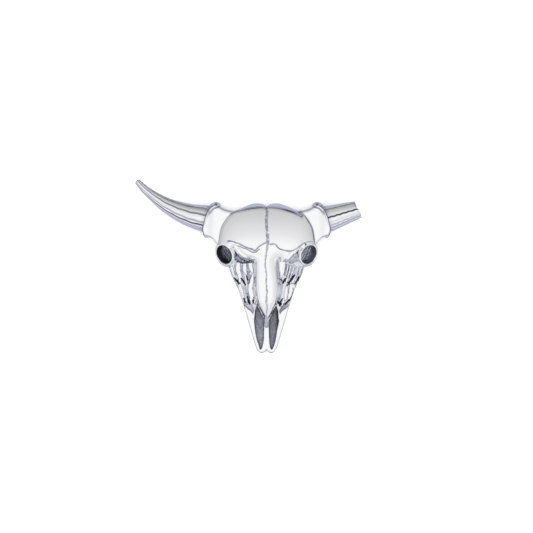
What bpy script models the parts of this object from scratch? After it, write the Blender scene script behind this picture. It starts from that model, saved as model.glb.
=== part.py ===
"""A small cast metal cow skull that lies on its flat back, face up, with one horn whole and one broken."""

import math

import bmesh
import bpy
import numpy as np
from mathutils import Vector
from mathutils.geometry import delaunay_2d_cdt

# Every length is in millimetres, and is turned into metres where a mesh is made.
# The origin is on the flat back, on the skull's midline: +X is the viewer's right,
# +Y is the top of the head and +Z is the way the face looks. Left and right are the viewer's.
millimetre = 0.001
partGap = 0.3
gridStep = 0.62
edgeStep = 0.55
edgeRings = (0.12, 0.35, 0.8)
cheekStep = 0.36

# Outline of the head, given for the viewer's right side and mirrored for the left
crownEdge = [(0.0, 12.98), (0.66, 13.51), (1.76, 13.77), (3.08, 13.66), (4.18, 13.27), (5.5, 12.7), (7.15, 12.1)]
bossTopEdge = [(7.15, 12.1), (8.2, 12.3), (9.3, 12.62), (10.1, 13.1), (10.7, 13.4)]
collarEdge = [(10.7, 13.4), (11.9, 12.9), (12.8, 11.6), (13.35, 10.15), (13.65, 8.95), (13.83, 7.8), (13.3, 6.6)]
bossLowEdge = [(13.3, 6.6), (12.2, 6.16), (11.5, 5.6), (10.95, 4.84)]
templeEdge = [(10.95, 4.84), (10.56, 5.3)]
crease = [(10.56, 5.3), (10.34, 7.04), (10.03, 8.36), (9.46, 9.53), (8.8, 10.52), (8.03, 11.4), (7.15, 12.1)]
browEnd = {-1: [(10.56, 5.3), (9.4, 5.42), (8.6, 5.4)], 1: [(10.56, 5.3), (9.6, 5.3), (8.6, 5.2)]}

# The wavy seam between the forehead and the nose, from the outer end to the midline
seam = {
    -1: [(8.6, 5.4), (7.8, 5.5), (6.7, 5.17), (5.6, 4.73), (4.3, 4.07), (3.2, 3.74), (2.5, 3.41), (1.87, 4.07),
         (1.0, 4.73), (0.0, 5.2)],
    1: [(8.6, 5.2), (8.03, 4.95), (6.93, 4.07), (6.05, 3.52), (5.17, 3.3), (4.4, 3.34), (3.2, 3.63), (2.53, 4.07),
        (1.87, 4.84), (0.9, 4.73), (0.0, 5.2)],
}
browStart = {-1: 1, 1: 2}
browTip = {-1: [(7.8, 5.5), (7.6, 4.5), (7.15, 3.5)], 1: [(6.93, 4.07), (7.15, 3.5)]}
browEdge = [(7.15, 3.5), (6.45, 2.6), (5.5, 1.8), (4.5, 1.4), (3.4, 1.2), (2.86, 0.9)]
barEdge = [(2.86, 0.9), (2.86, -0.9), (2.88, -3.1), (2.75, -5.3), (2.4, -7.1), (2.1, -8.2)]
nasalTaper = [(2.1, -8.2), (1.5, -9.4), (0.9, -10.7), (0.46, -11.55)]
nasalNotch = [(0.46, -11.55), (0.0, -11.2)]
cheekEdge = [(8.45, 0.9), (8.14, -0.44), (7.6, -2.0), (6.75, -3.75), (6.05, -5.3), (5.4, -6.8), (4.8, -8.65)]
lipSeam = [(4.8, -8.65), (4.1, -9.45), (3.4, -10.0), (2.8, -11.0)]
slotLip = [(2.8, -11.0), (2.46, -9.7), (2.1, -8.2)]
muzzleEdge = [(4.8, -8.65), (4.15, -11.1), (3.6, -13.3), (3.0, -15.7), (2.5, -17.4), (2.05, -18.45), (1.5, -19.08),
              (0.95, -19.2), (0.4, -18.95), (0.0, -18.6)]
nasalSlot = {
    -1: [(2.49, -8.5), (2.55, -10.4), (2.71, -11.9), (2.51, -14.1), (2.1, -16.3), (1.36, -18.4), (0.8, -17.1),
         (0.57, -14.8), (0.51, -12.2), (0.85, -11.05), (1.6, -9.7), (2.09, -8.62)],
    1: [(2.4, -8.47), (2.57, -10.3), (2.72, -12.1), (2.35, -14.3), (1.94, -16.5), (1.17, -18.4), (0.7, -17.1),
        (0.57, -15.2), (0.55, -12.6), (0.99, -10.9), (1.6, -9.75), (2.05, -8.85)],
}
medianLine = [(0.0, 12.6), (0.1, 11.0), (0.0, 9.0), (0.2, 6.0), (0.15, 4.0), (-0.15, 1.0), (-0.2, -0.5), (0.0, -2.0),
              (0.0, -4.5), (0.1, -6.0), (0.0, -7.5), (0.1, -9.0), (0.0, -10.8)]

# The line where each dome turns steeply down to the crown, from the midline outward
domeEdge = {
    -1: [(0.0, 12.91), (1.43, 12.91), (2.53, 12.8), (3.63, 12.65), (5.83, 12.23), (6.93, 11.97), (8.03, 11.11)],
    1: [(0.0, 12.98), (2.09, 12.85), (4.07, 12.36), (5.61, 11.88), (6.71, 11.44), (8.25, 10.38)],
}

# Heights above the flat back. A tilt list gives how many degrees a surface leans at a distance from its edge.
domeHeight = 9.2
domeFallStart = 4.0
domeFall = 0.023
sideFall = 1.02
sideReach = 10.0
crownTilts = [(-2.0, 62), (-0.3, 58), (-0.05, 48), (0.15, 28), (0.4, 8), (0.8, 0)]
creaseTilts = {-1: [(0.0, 26), (0.3, 10), (0.6, 0)], 1: [(0.0, 52), (0.15, 40), (0.4, 10), (0.8, 0)]}
bossHeight = 7.25
bossLean = 0.04
bossCrown = 0.01
bossMiddle = 9.4
bossFlare = 0.35
flareReach = (11.0, 13.6)
bossTopTilts = [(0.0, 80), (0.15, 60), (0.35, 35), (0.6, 10), (1.0, 0)]
bossLowTilts = [(0.0, 80), (0.12, 55), (0.26, 25), (0.45, 6), (0.7, 0)]
nasalProfile = [(-11.6, 5.9), (-8.0, 6.8), (-3.0, 7.7), (1.5, 8.6), (5.5, 9.15)]
browFall = 0.012
browTilts = [(0.0, 76), (0.15, 60), (0.4, 42), (0.75, 25), (1.2, 10), (1.6, 0)]
barTilts = [(0.0, 68), (0.5, 62), (0.7, 42), (0.9, 22), (1.4, 8), (2.0, 0)]
cheekGround = [(-11.0, 3.5), (-8.5, 4.0), (-3.5, 4.6), (1.0, 5.0), (4.0, 5.2)]
cheekFall = 0.1
cheekInner = 2.5
cheekTilts = [(0.0, 78), (0.12, 55), (0.3, 20), (0.55, 0)]
muzzleProfile = [(-19.3, 2.6), (-14.0, 3.7), (-8.5, 4.8)]
muzzleTilts = [(0.0, 80), (0.1, 60), (0.24, 30), (0.4, 8), (0.6, 0)]
slotFloor = 1.3
medianWidth = 0.34
medianDepth = 0.34
creaseMark = 0.35

# The cheeks' larger splinters and pits: middle points with the half width at each
splinterRaise = 0.62
splinters = {
    -1: [[(6.23, 0.55, 0.4), (5.94, -2.42, 0.45), (5.72, -3.85, 0.35)],
         [(4.73, 0.62, 0.4), (4.47, -1.54, 0.25)],
         [(3.63, 0.66, 0.45), (3.12, -1.54, 0.3)],
         [(2.82, -1.54, 0.2), (3.12, -3.08, 0.45), (3.37, -6.82, 0.35)],
         [(5.76, -4.07, 0.4), (5.52, -5.5, 0.45), (5.17, -7.04, 0.35)]],
    1: [[(3.45, 0.7, 0.86), (3.39, -1.32, 0.55), (3.23, -2.6, 0.2)],
        [(5.32, 0.0, 0.3), (4.38, -3.52, 0.3)],
        [(6.82, -0.33, 0.35), (5.74, -3.63, 0.3)],
        [(4.49, -4.62, 0.35), (4.07, -7.37, 0.3)],
        [(5.52, -4.29, 0.4), (4.91, -7.04, 0.38)]],
}
pitDepth = 0.45
pits = {
    -1: [[(7.11, -2.55, 0.3), (6.01, -3.83, 0.35)], [(5.61, -2.68, 0.3), (4.64, -4.14, 0.35)],
         [(4.16, -6.67, 0.3), (3.67, -8.4, 0.3)]],
    1: [[(4.14, -2.77, 0.3), (3.59, -3.83, 0.3)], [(6.14, -2.05, 0.3), (4.86, -3.7, 0.35)],
        [(5.59, -6.67, 0.3), (4.09, -8.45, 0.3)]],
}
hollow = [(7.4, 3.4, 0.5), (6.6, 2.2, 0.9), (5.6, 1.2, 0.7), (4.4, 0.9, 0.35), (3.4, 0.9, 0.25)]
hollowDepth = 0.7

# Eye sockets: each opens outward with a rolled rim and a floor, on a foot that stands on the back
eyeCentre = (9.24, 2.53, 6.4)
eyeLean = math.radians(42)
eyeLeanWay = math.radians(28.5)
eyeInner = 2.1
eyeRim = 0.2
eyeFlank = 0.5
eyeFlare = 0.1
eyeFoot = (8.5, 2.2, 2.65)
eyeDepth = 1.6
eyeAbove = 2.0
eyeSides = 36
eyeRows = 4

# Rolled lip round the foot of each horn
collarRadii = [(0.0, 0.5), (0.12, 0.62), (0.3, 0.4), (0.85, 0.34), (0.95, 0.42), (1.0, 0.42)]
collarBulge = 0.8
collarHeight = 7.75
collarSteps = 26
collarSides = 10

# Horns: centre points with the radius at each, seen from the front
hornHeight = 4.0
wholeHorn = [(-13.2, 10.36, 2.98), (-15.4, 10.8, 2.75), (-17.7, 11.45, 2.4), (-20.0, 12.37, 2.02), (-22.3, 13.54, 1.62),
             (-24.4, 14.96, 1.24), (-26.4, 16.52, 0.94), (-27.5, 17.6, 0.8), (-28.35, 18.55, 0.66)]
brokenHorn = [(13.2, 10.3, 2.9), (15.0, 10.8, 2.7), (17.0, 11.45, 2.42), (20.0, 12.4, 2.02)]
hornSpread = 0.36
hornStep = 0.95
flutes = {  # the angle of each flute at the foot and at the tip, and its depth as a share of the radius
    -1: [(-2.5, -2.5, 0.08), (-1.75, -1.75, 0.08), (-0.88, -1.2, 0.07), (-0.32, -0.27, 0.08), (0.31, 0.4, 0.05),
         (0.56, 0.8, 0.09), (1.65, 1.65, 0.08), (2.4, 2.4, 0.08)],
    1: [(-2.5, -2.5, 0.08), (-1.75, -1.75, 0.08), (-0.92, -0.94, 0.07), (-0.1, -0.07, 0.13), (1.65, 1.65, 0.08),
        (2.4, 2.4, 0.08)],
}
fluteWidth = 0.11
hornTip = ((0.8, 0.22), (0.4, 0.34))
footReach = 1.6
breakSlant = 0.2
breakJags = ((3, 0.2, 0.4), (7, 0.12, 1.9))


def clearScene():
    """Empty the scene."""
    for thing in list(bpy.data.objects):
        bpy.data.objects.remove(thing, do_unlink=True)


def makeMaterial(name, colour, roughness):
    """A plain metal for one sub-part."""
    material = bpy.data.materials.new(name)
    material.use_nodes = True
    shader = material.node_tree.nodes["Principled BSDF"]
    shader.inputs["Base Color"].default_value = (*colour, 1.0)
    shader.inputs["Metallic"].default_value = 1.0
    shader.inputs["Roughness"].default_value = roughness
    material.diffuse_color = (*colour, 1.0)
    return material


def mirrored(points, side):
    """The points of one side of the head: -1 is the viewer's left and 1 the viewer's right."""
    return [(side * x, y) for x, y in points]


def smoothLine(points, step):
    """A smooth line through the points, with a point about every step."""
    known = np.array(points, dtype=float)
    ends = np.vstack([2 * known[0] - known[1], known, 2 * known[-1] - known[-2]])
    line = []
    for start in range(len(known) - 1):
        before, first, second, after = ends[start:start + 4]
        pieces = max(1, round(float(np.linalg.norm((second - first)[:2])) / step))
        for piece in range(pieces):
            t = piece / pieces
            bend = 2 * before - 5 * first + 4 * second - after
            twist = 3 * first - before - 3 * second + after
            line.append(0.5 * (2 * first + (second - before) * t + bend * t ** 2 + twist * t ** 3))
    line.append(known[-1])
    return np.array(line)


def distanceTo(line, points):
    """How far each point lies from the line, in plan."""
    nearest = np.full(len(points), np.inf)
    for first, second in zip(line[:-1], line[1:]):
        run = second - first
        along = np.clip(((points - first) @ run) / max(float(run @ run), 1e-12), 0, 1)
        offset = points - (first + along[:, None] * run)
        nearest = np.minimum(nearest, np.hypot(offset[:, 0], offset[:, 1]))
    return nearest


def inside(outline, points):
    """True for each point that lies inside the closed outline."""
    result = np.zeros(len(points), dtype=bool)
    for first, second in zip(outline, np.roll(outline, -1, axis=0)):
        spans = (first[1] > points[:, 1]) != (second[1] > points[:, 1])
        rise = second[1] - first[1] if abs(second[1] - first[1]) > 1e-12 else 1e-12
        crossing = first[0] + (points[:, 1] - first[1]) * (second[0] - first[0]) / rise
        result ^= spans & (points[:, 0] < crossing)
    return result


def joinOutline(borders):
    """One closed outline from borders laid end to end, with the inset of each of its edges."""
    points = []
    insets = []
    for line, inset in borders:
        points.extend(line[:-1])
        insets.extend([inset] * (len(line) - 1))
    outline = np.array(points)
    turn = np.roll(outline, -1, axis=0)
    area = 0.5 * float(np.sum(outline[:, 0] * turn[:, 1] - turn[:, 0] * outline[:, 1]))
    if area < 0:
        outline = outline[::-1]
        insets = insets[::-1][1:] + insets[::-1][:1]
    return outline, np.array(insets)


def insetOutline(outline, insets):
    """The outline with every edge moved inward by its own inset."""
    following = np.roll(outline, -1, axis=0) - outline
    lengths = np.hypot(following[:, 0], following[:, 1])
    inward = np.stack([-following[:, 1], following[:, 0]], axis=1) / lengths[:, None]
    moved = []
    for here in range(len(outline)):
        first, second = inward[here - 1], inward[here]
        goal = np.array([insets[here - 1], insets[here]])
        spread = first[0] * second[1] - first[1] * second[0]
        if abs(spread) > 0.25:
            shift = np.linalg.solve(np.array([first, second]), goal)
        else:
            middle = first + second
            shift = middle / np.linalg.norm(middle) * float(goal.mean())
        moved.append(outline[here] + shift)
    return np.array(moved)


def fillPoints(outline, step, rings):
    """Points inside the outline: rings that follow its edge, then a grid of near even triangles."""
    found = []
    for ring in rings:
        line = insetOutline(outline, np.full(len(outline), ring))
        keep = inside(outline, line)
        closed = np.vstack([outline, outline[:1]])
        keep &= distanceTo(closed, line) > ring * 0.8
        found.append(line[keep])
    low = outline.min(axis=0)
    high = outline.max(axis=0)
    rowStep = step * math.sqrt(3) / 2
    grid = []
    for row in range(int((high[1] - low[1]) / rowStep) + 2):
        shift = 0.5 * step * (row % 2)
        for column in range(int((high[0] - low[0]) / step) + 2):
            grid.append((low[0] + column * step + shift, low[1] + row * rowStep))
    grid = np.array(grid)
    grid = grid[inside(outline, grid)]
    closed = np.vstack([outline, outline[:1]])
    clear = (rings[-1] if rings else 0.0) + step * 0.45
    found.append(grid[distanceTo(closed, grid) > clear])
    return np.vstack(found)


def thinned(points, fixed, spacing):
    """The points that keep the spacing from the fixed ones."""
    if len(fixed) == 0:
        return points
    gaps = np.hypot(points[:, None, 0] - fixed[None, :, 0], points[:, None, 1] - fixed[None, :, 1])
    return points[gaps.min(axis=1) > spacing]


def triangulate(outline, inner):
    """Triangles that fill the outline through the inner points, as points and index triples."""
    everything = np.vstack([outline, inner]) if len(inner) else outline
    flat = [Vector((float(x), float(y))) for x, y in everything]
    places, _, faces, sources, _, _ = delaunay_2d_cdt(flat, [], [list(range(len(outline)))], 1, 1e-6)
    order = {}
    for index, origin in enumerate(sources):
        for source in origin:
            order[source] = index
    return [tuple(place) for place in places], [tuple(face) for face in faces], order


def plateSolid(name, borders, heightOf, material, creases=(), step=gridStep):
    """A closed solid with a flat back, the outline of the borders and the height of a function."""
    outline, insets = joinOutline(borders)
    outline = insetOutline(outline, insets)
    inner = fillPoints(outline, step, edgeRings)
    for line, width in creases:
        run = np.gradient(line, axis=0)
        across = np.stack([-run[:, 1], run[:, 0]], axis=1) / np.hypot(run[:, 0], run[:, 1])[:, None]
        marks = np.vstack([line, line + across * width, line - across * width])
        marks = marks[inside(outline, marks)]
        marks = marks[distanceTo(np.vstack([outline, outline[:1]]), marks) > 0.12]
        inner = np.vstack([thinned(inner, marks, width * 0.8), marks])
    places, faces, order = triangulate(outline, inner)
    heights = heightOf(np.array(places))
    mesh = bmesh.new()
    top = [mesh.verts.new((x * millimetre, y * millimetre, z * millimetre)) for (x, y), z in zip(places, heights)]
    for face in faces:
        mesh.faces.new([top[corner] for corner in face])
    count = len(outline)
    foot = [mesh.verts.new((x * millimetre, y * millimetre, 0.0)) for x, y in outline]
    rim = [top[order[corner]] for corner in range(count)]
    for corner in range(count):
        after = (corner + 1) % count
        mesh.faces.new([rim[after], rim[corner], foot[corner], foot[after]])
    _, backFaces, backOrder = triangulate(outline, [])
    source = {index: corner for corner, index in backOrder.items()}
    for face in backFaces:
        mesh.faces.new([foot[source[corner]] for corner in reversed(face)])
    bmesh.ops.triangulate(mesh, faces=mesh.faces[:])
    bmesh.ops.recalc_face_normals(mesh, faces=mesh.faces[:])
    return addObject(name, mesh, material)


def addObject(name, mesh, material, smoothAngle=40):
    """Make an object of a bmesh."""
    data = bpy.data.meshes.new(name)
    mesh.to_mesh(data)
    mesh.free()
    data.shade_smooth()
    data.set_sharp_from_angle(angle=math.radians(smoothAngle))
    thing = bpy.data.objects.new(name, data)
    bpy.context.scene.collection.objects.link(thing)
    if material:
        data.materials.append(material)
    return thing


def tubeMesh(rings):
    """A closed mesh over rings of points, from the first end cap to the last."""
    mesh = bmesh.new()
    rows = [[mesh.verts.new(Vector(point) * millimetre) for point in ring] for ring in rings]
    sides = len(rings[0])
    for low, high in zip(rows[:-1], rows[1:]):
        for side in range(sides):
            after = (side + 1) % sides
            mesh.faces.new([low[side], low[after], high[after], high[side]])
    for row in (rows[0], rows[-1]):
        middle = sum((vertex.co for vertex in row), Vector()) / sides
        centre = mesh.verts.new(middle)
        for side in range(sides):
            mesh.faces.new([centre, row[side], row[(side + 1) % sides]])
    bmesh.ops.triangulate(mesh, faces=mesh.faces[:])
    bmesh.ops.recalc_face_normals(mesh, faces=mesh.faces[:])
    if mesh.calc_volume(signed=True) < 0:
        bmesh.ops.reverse_faces(mesh, faces=mesh.faces[:])
    return mesh


def combine(target, tool, operation):
    """Cut a tool from the target, or join it, and take the tool away."""
    step = target.modifiers.new(operation.title(), "BOOLEAN")
    step.operation = operation
    step.solver = "EXACT"
    step.object = tool
    bpy.context.view_layer.update()
    graph = bpy.context.evaluated_depsgraph_get()
    shape = bpy.data.meshes.new_from_object(target.evaluated_get(graph))
    old = target.data
    target.modifiers.clear()
    target.data = shape
    shape.name = old.name
    bpy.data.meshes.remove(old)
    bpy.data.objects.remove(tool, do_unlink=True)


def rollOver(away, tilts):
    """How far a surface has fallen at a distance from its edge, from its list of tilts in degrees."""
    places, degrees = zip(*tilts)
    fine = np.linspace(places[0], places[-1], 240)
    slope = np.tan(np.radians(np.interp(fine, places, degrees)))
    drops = (slope[1:] + slope[:-1]) / 2 * np.diff(fine)
    return np.interp(away, fine, np.concatenate([np.cumsum(drops[::-1])[::-1], [0]]))


def smoothStep(low, high, value):
    """0 below low, 1 above high and smooth between."""
    t = np.clip((value - low) / (high - low), 0, 1)
    return t * t * (3 - 2 * t)


def strand(points, path, side):
    """1 on the middle of a tapering strip, 0 at its edge and less than 0 outside."""
    line = smoothLine([(side * x, y, width) for x, y, width in path], edgeStep)
    best = np.full(len(points), -9.0)
    for first, second in zip(line[:-1], line[1:]):
        run = second - first
        along = np.clip(((points - first[:2]) @ run[:2]) / float(run[:2] @ run[:2]), 0, 1)
        offset = points - (first[:2] + along[:, None] * run[:2])
        best = np.maximum(best, 1 - np.hypot(offset[:, 0], offset[:, 1]) / (first[2] + along * run[2]))
    return best


def profileAt(profile, along):
    """The height at a place along a profile."""
    places, heights = zip(*profile)
    return np.interp(along, places, heights)


def medianGroove(points):
    """The depth of the groove down the middle of the face."""
    near = np.clip(1 - distanceTo(smoothLine(medianLine, edgeStep), points) / medianWidth, 0, 1)
    return medianDepth * near


def foreheadHeight(points):
    """Two smooth domes side by side, steep behind the crown's edge."""
    height = domeHeight - domeFall * np.maximum(points[:, 1] - domeFallStart, 0) ** 2
    height -= sideFall * (np.abs(points[:, 0]) / sideReach) ** 4
    for side in (-1, 1):
        edge = smoothLine(mirrored(domeEdge[side], side), edgeStep)
        level = np.interp(points[:, 0] * side, edge[:, 0] * side, edge[:, 1])
        away = distanceTo(edge, points) * np.where(points[:, 1] < level, 1, -1)
        height -= np.where(points[:, 0] * side >= 0, rollOver(away, crownTilts), 0)
        height -= rollOver(distanceTo(smoothLine(mirrored(crease, side), edgeStep), points), creaseTilts[side])
    return height - medianGroove(points)


def noseHeight(points):
    """The brow arcs and the long nasal bar between the cheeks."""
    height = profileAt(nasalProfile, points[:, 1]) - browFall * points[:, 0] ** 2
    for side in (-1, 1):
        brow = distanceTo(smoothLine(mirrored(browEdge, side), edgeStep), points)
        walls = [smoothLine(mirrored(wall, side), edgeStep) for wall in (barEdge, nasalTaper)]
        height -= np.maximum(rollOver(brow, browTilts), rollOver(distanceTo(np.vstack(walls), points), barTilts))
    return height - medianGroove(points)


def cheekHeight(points, side):
    """A sunken cheek: splinters standing on low ground, pits between them and a hollow under the brow."""
    height = profileAt(cheekGround, points[:, 1]) - cheekFall * (side * points[:, 0] - cheekInner)
    lift = np.zeros(len(points))
    for path in splinters[side]:
        lift = np.maximum(lift, smoothStep(-0.15, 0.55, strand(points, path, side)))
    height += splinterRaise * lift
    for path in pits[side]:
        height -= pitDepth * smoothStep(0.0, 0.7, strand(points, path, side))
    height -= hollowDepth * smoothStep(0.0, 0.8, strand(points, hollow, side))
    return height - rollOver(distanceTo(smoothLine(mirrored(cheekEdge, side), edgeStep), points), cheekTilts)


def muzzleHeight(points):
    """The smooth upper jaw, thinner toward its two blunt tips."""
    height = profileAt(muzzleProfile, points[:, 1])
    for side in (-1, 1):
        height -= rollOver(distanceTo(smoothLine(mirrored(muzzleEdge, side), edgeStep), points), muzzleTilts)
    return height


def bossHeightAt(points, side):
    """The flared neck that carries a horn."""
    height = bossHeight + bossLean * (points[:, 1] - bossMiddle) - bossCrown * (points[:, 1] - bossMiddle) ** 2
    height += bossFlare * smoothStep(*flareReach, side * points[:, 0])
    height -= rollOver(distanceTo(smoothLine(mirrored(bossTopEdge, side), edgeStep), points), bossTopTilts)
    return height - rollOver(distanceTo(smoothLine(mirrored(bossLowEdge, side), edgeStep), points), bossLowTilts)


def eyeRing(side, radius, along, upright=0.0):
    """A ring round one eye socket, leaning where upright is 0 and level round the foot where it is 1."""
    way = Vector((side * math.cos(eyeLeanWay), -math.sin(eyeLeanWay), 0))
    up = Vector((0, 0, 1))
    across = up.cross(way)
    out = way * math.cos(eyeLean) - up * math.sin(eyeLean)
    axis = way * math.sin(eyeLean) + up * math.cos(eyeLean)
    middle = Vector((side * eyeCentre[0], eyeCentre[1], eyeCentre[2])) + axis * along
    foot = Vector((side * eyeFoot[0], eyeFoot[1], 0))
    ring = []
    for corner in range(eyeSides):
        angle = side * 2 * math.pi * (corner + 0.5) / eyeSides
        leaning = middle + radius * (math.cos(angle) * out + math.sin(angle) * across)
        level = foot + (radius - eyeInner + eyeFoot[2]) * (math.cos(angle) * way + math.sin(angle) * across)
        ring.append(leaning.lerp(level, upright))
    return ring


def eyeSolid(side, grow, material, name):
    """A socket with a rolled rim and a floor, or with grow its plain, larger cutter."""
    flank = eyeInner + 2 * eyeRim + eyeFlare + grow
    rings = [eyeRing(side, eyeInner + grow, -eyeFlank, 1.0)]
    if grow:
        rings.insert(0, [point - Vector((0, 0, grow)) for point in rings[0]])
    for row in range(1, eyeRows + 1):
        share = row / eyeRows
        rings.append(eyeRing(side, eyeInner + grow + (flank - eyeInner - grow) * share, -eyeFlank, 1 - share))
    if grow:
        rings.append(eyeRing(side, flank, eyeAbove))
    else:
        for step in range(1, 6):
            angle = math.pi * step / 6
            rings.append(eyeRing(side, eyeInner + eyeRim + eyeRim * math.cos(angle), eyeRim * math.sin(angle)))
        rings.append(eyeRing(side, eyeInner, -eyeRim))
        rings.append(eyeRing(side, eyeInner - eyeRim / 2, -eyeDepth))
        rings.append(eyeRing(side, eyeInner / 2, -eyeDepth - eyeRim / 2))
    return addObject(name, tubeMesh(rings), material)


def collarLip(side):
    """The rolled lip that stands up from the back, over the boss and down again."""
    plan = smoothLine(mirrored(collarEdge, side), 0.1)
    travel = np.concatenate([[0], np.cumsum(np.hypot(*np.diff(plan, axis=0).T))])
    path = []
    for step in range(collarSteps + 1):
        turn = math.pi * step / collarSteps
        place = travel[-1] * (1 - math.cos(turn)) / 2
        x = np.interp(place, travel, plan[:, 0])
        y = np.interp(place, travel, plan[:, 1])
        path.append(Vector((x, y, collarHeight * max(math.sin(turn), 0) ** collarBulge)))
    outward = Vector((side, 0, 0))
    rings = []
    for here, point in enumerate(path):
        run = path[min(here + 1, len(path) - 1)] - path[max(here - 1, 0)]
        if here in (0, len(path) - 1):
            run = Vector((0, 0, run.z))
        run.normalize()
        wide = (outward - run * outward.dot(run)).normalized()
        high = run.cross(wide)
        radius = float(profileAt(collarRadii, (1 - math.cos(math.pi * here / collarSteps)) / 2))
        ring = []
        for corner in range(collarSides):
            angle = 2 * math.pi * corner / collarSides
            ring.append(point + radius * (math.cos(angle) * wide + math.sin(angle) * high))
        rings.append(ring)
    return addObject("collar lip", tubeMesh(rings), None)


def hornSection(side, along):
    """Angles round a horn with the depth of its flutes at each, for a place from foot 0 to tip 1."""
    corners = []
    for foot, tip, depth in flutes[side]:
        for shift, share in ((-fluteWidth, 0.0), (0.0, depth), (fluteWidth, 0.0)):
            corners.append((foot + shift, tip + shift, share))
    corners.append((corners[0][0] + 2 * math.pi, corners[0][1] + 2 * math.pi, 0.0))
    section = []
    for (foot, tip, share), (footAfter, tipAfter, _) in zip(corners[:-1], corners[1:]):
        pieces = max(1, round((footAfter - foot) / hornSpread))
        here = foot + (tip - foot) * along
        after = footAfter + (tipAfter - footAfter) * along
        section.append((here, share))
        section += [(here + (after - here) * piece / pieces, 0.0) for piece in range(1, pieces)]
    return section


def slideClear(place, run, wall):
    """A point of a horn's foot, slid along the horn until it clears the wall by the gap."""
    slides = np.arange(-footReach, footReach, 0.02)
    track = place + slides[:, None] * run
    close = distanceTo(wall, track) < partGap
    return track[close][-1] + run * 0.02 if close.any() else place


def hornSolid(name, spine, side, material, broken):
    """A fluted horn along its spine, from the collar to its blunt tip or its broken end."""
    line = smoothLine(spine, hornStep)
    wall = smoothLine(mirrored(collarEdge, side), edgeStep)
    runs = np.gradient(line[:, :2], axis=0)
    last = len(line) - 1
    stations = [(here, 1.0, 0.0) for here in range(len(line))]
    if not broken:
        stations += [(last, share, ahead) for share, ahead in hornTip]
    rings = []
    for here, share, ahead in stations:
        x, y, radius = line[here]
        run = runs[here] / np.hypot(*runs[here])
        across = np.array([side * run[1], -side * run[0]])
        ring = []
        for angle, depth in hornSection(side, here / last):
            reach = radius * share * (1 - depth)
            place = np.array([x, y]) + run * ahead + across * reach * math.sin(angle)
            if here == 0:
                place = slideClear(place, run, wall)
            if broken and here == last:
                jag = breakSlant * reach * math.sin(angle)
                for waves, size, shift in breakJags:
                    jag += size * math.sin(waves * angle + shift)
                place = place + run * jag
            ring.append((place[0], place[1], hornHeight + reach * math.cos(angle)))
        rings.append(ring)
    return addObject(name, tubeMesh(rings), material)


def shared(points, side, step=edgeStep):
    """A border that two sub-parts share, with half the gap as its inset."""
    return smoothLine(mirrored(points, side), step), partGap / 2


def free(points, side, step=edgeStep):
    """A border on the outside of the head, with no inset."""
    return smoothLine(mirrored(points, side), step), 0.0


def backwards(border):
    """The same border walked the other way."""
    return border[0][::-1], border[1]


def slotCutter(side):
    """A prism with the outline of one nasal slot, down to its floor."""
    outline = smoothLine(mirrored(nasalSlot[side] + nasalSlot[side][:1], side), edgeStep)[:-1]
    mesh = bmesh.new()
    rows = []
    for height in (slotFloor, domeHeight):
        rows.append([mesh.verts.new((x * millimetre, y * millimetre, height * millimetre)) for x, y in outline])
    count = len(outline)
    for corner in range(count):
        after = (corner + 1) % count
        mesh.faces.new([rows[0][corner], rows[0][after], rows[1][after], rows[1][corner]])
    mesh.faces.new(rows[0])
    mesh.faces.new(rows[1])
    bmesh.ops.recalc_face_normals(mesh, faces=mesh.faces[:])
    return addObject("slot cutter", mesh, None)


def makeForehead(material):
    """The two domes of the forehead, above the seam."""
    borders = []
    for side in (1, -1):
        half = [free(crownEdge, side), backwards(shared(crease, side)), shared(browEnd[side], side),
                shared(seam[side], side)]
        borders += half if side == 1 else [backwards(border) for border in reversed(half)]
    marks = [(smoothLine(mirrored(domeEdge[side], side), edgeStep), creaseMark) for side in (-1, 1)]
    marks.append((smoothLine(medianLine, edgeStep), medianWidth))
    return plateSolid("forehead", borders, foreheadHeight, material, marks)


def makeNose(material):
    """The brow arcs and the nasal bar, below the seam."""
    borders = []
    for side in (1, -1):
        upper = seam[side][browStart[side]:]
        half = [backwards(shared(upper, side)), shared(browTip[side], side), shared(browEdge, side),
                shared(barEdge, side), shared(nasalTaper, side), shared(nasalNotch, side)]
        borders += half if side == 1 else [backwards(border) for border in reversed(half)]
    middle = (smoothLine(medianLine, edgeStep), medianWidth)
    return plateSolid("nose_bridge", borders, noseHeight, material, [middle])


def makeCheek(side, name, material):
    """One sunken cheek between the nose, the eye socket and the jaw."""
    top = [(7.15, 3.5), (8.0, 2.4), (8.45, 0.9)]
    borders = [shared(top, side), free(cheekEdge, side), shared(lipSeam, side), shared(slotLip, side),
               backwards(shared(barEdge, side)), backwards(shared(browEdge, side))]
    return plateSolid(name, borders, lambda points: cheekHeight(points, side), material, (), cheekStep)


def makeMuzzle(material):
    """The upper jaw with its two sunken nasal slots."""
    borders = []
    for side in (1, -1):
        half = [backwards(shared(nasalNotch, side)), backwards(shared(nasalTaper, side)),
                backwards(shared(slotLip, side)), backwards(shared(lipSeam, side)), free(muzzleEdge, side)]
        borders += half if side == 1 else [backwards(border) for border in reversed(half)]
    muzzle = plateSolid("muzzle", borders, muzzleHeight, material)
    for side in (-1, 1):
        combine(muzzle, slotCutter(side), "DIFFERENCE")
    return muzzle


def makeBoss(side, name, material):
    """The neck that carries one horn, with the rolled lip round its end."""
    borders = [free(bossTopEdge, side), free(collarEdge, side), free(bossLowEdge, side), shared(templeEdge, side),
               shared(crease, side)]
    boss = plateSolid(name, borders, lambda points: bossHeightAt(points, side), material)
    combine(boss, collarLip(side), "UNION")
    return boss


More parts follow.
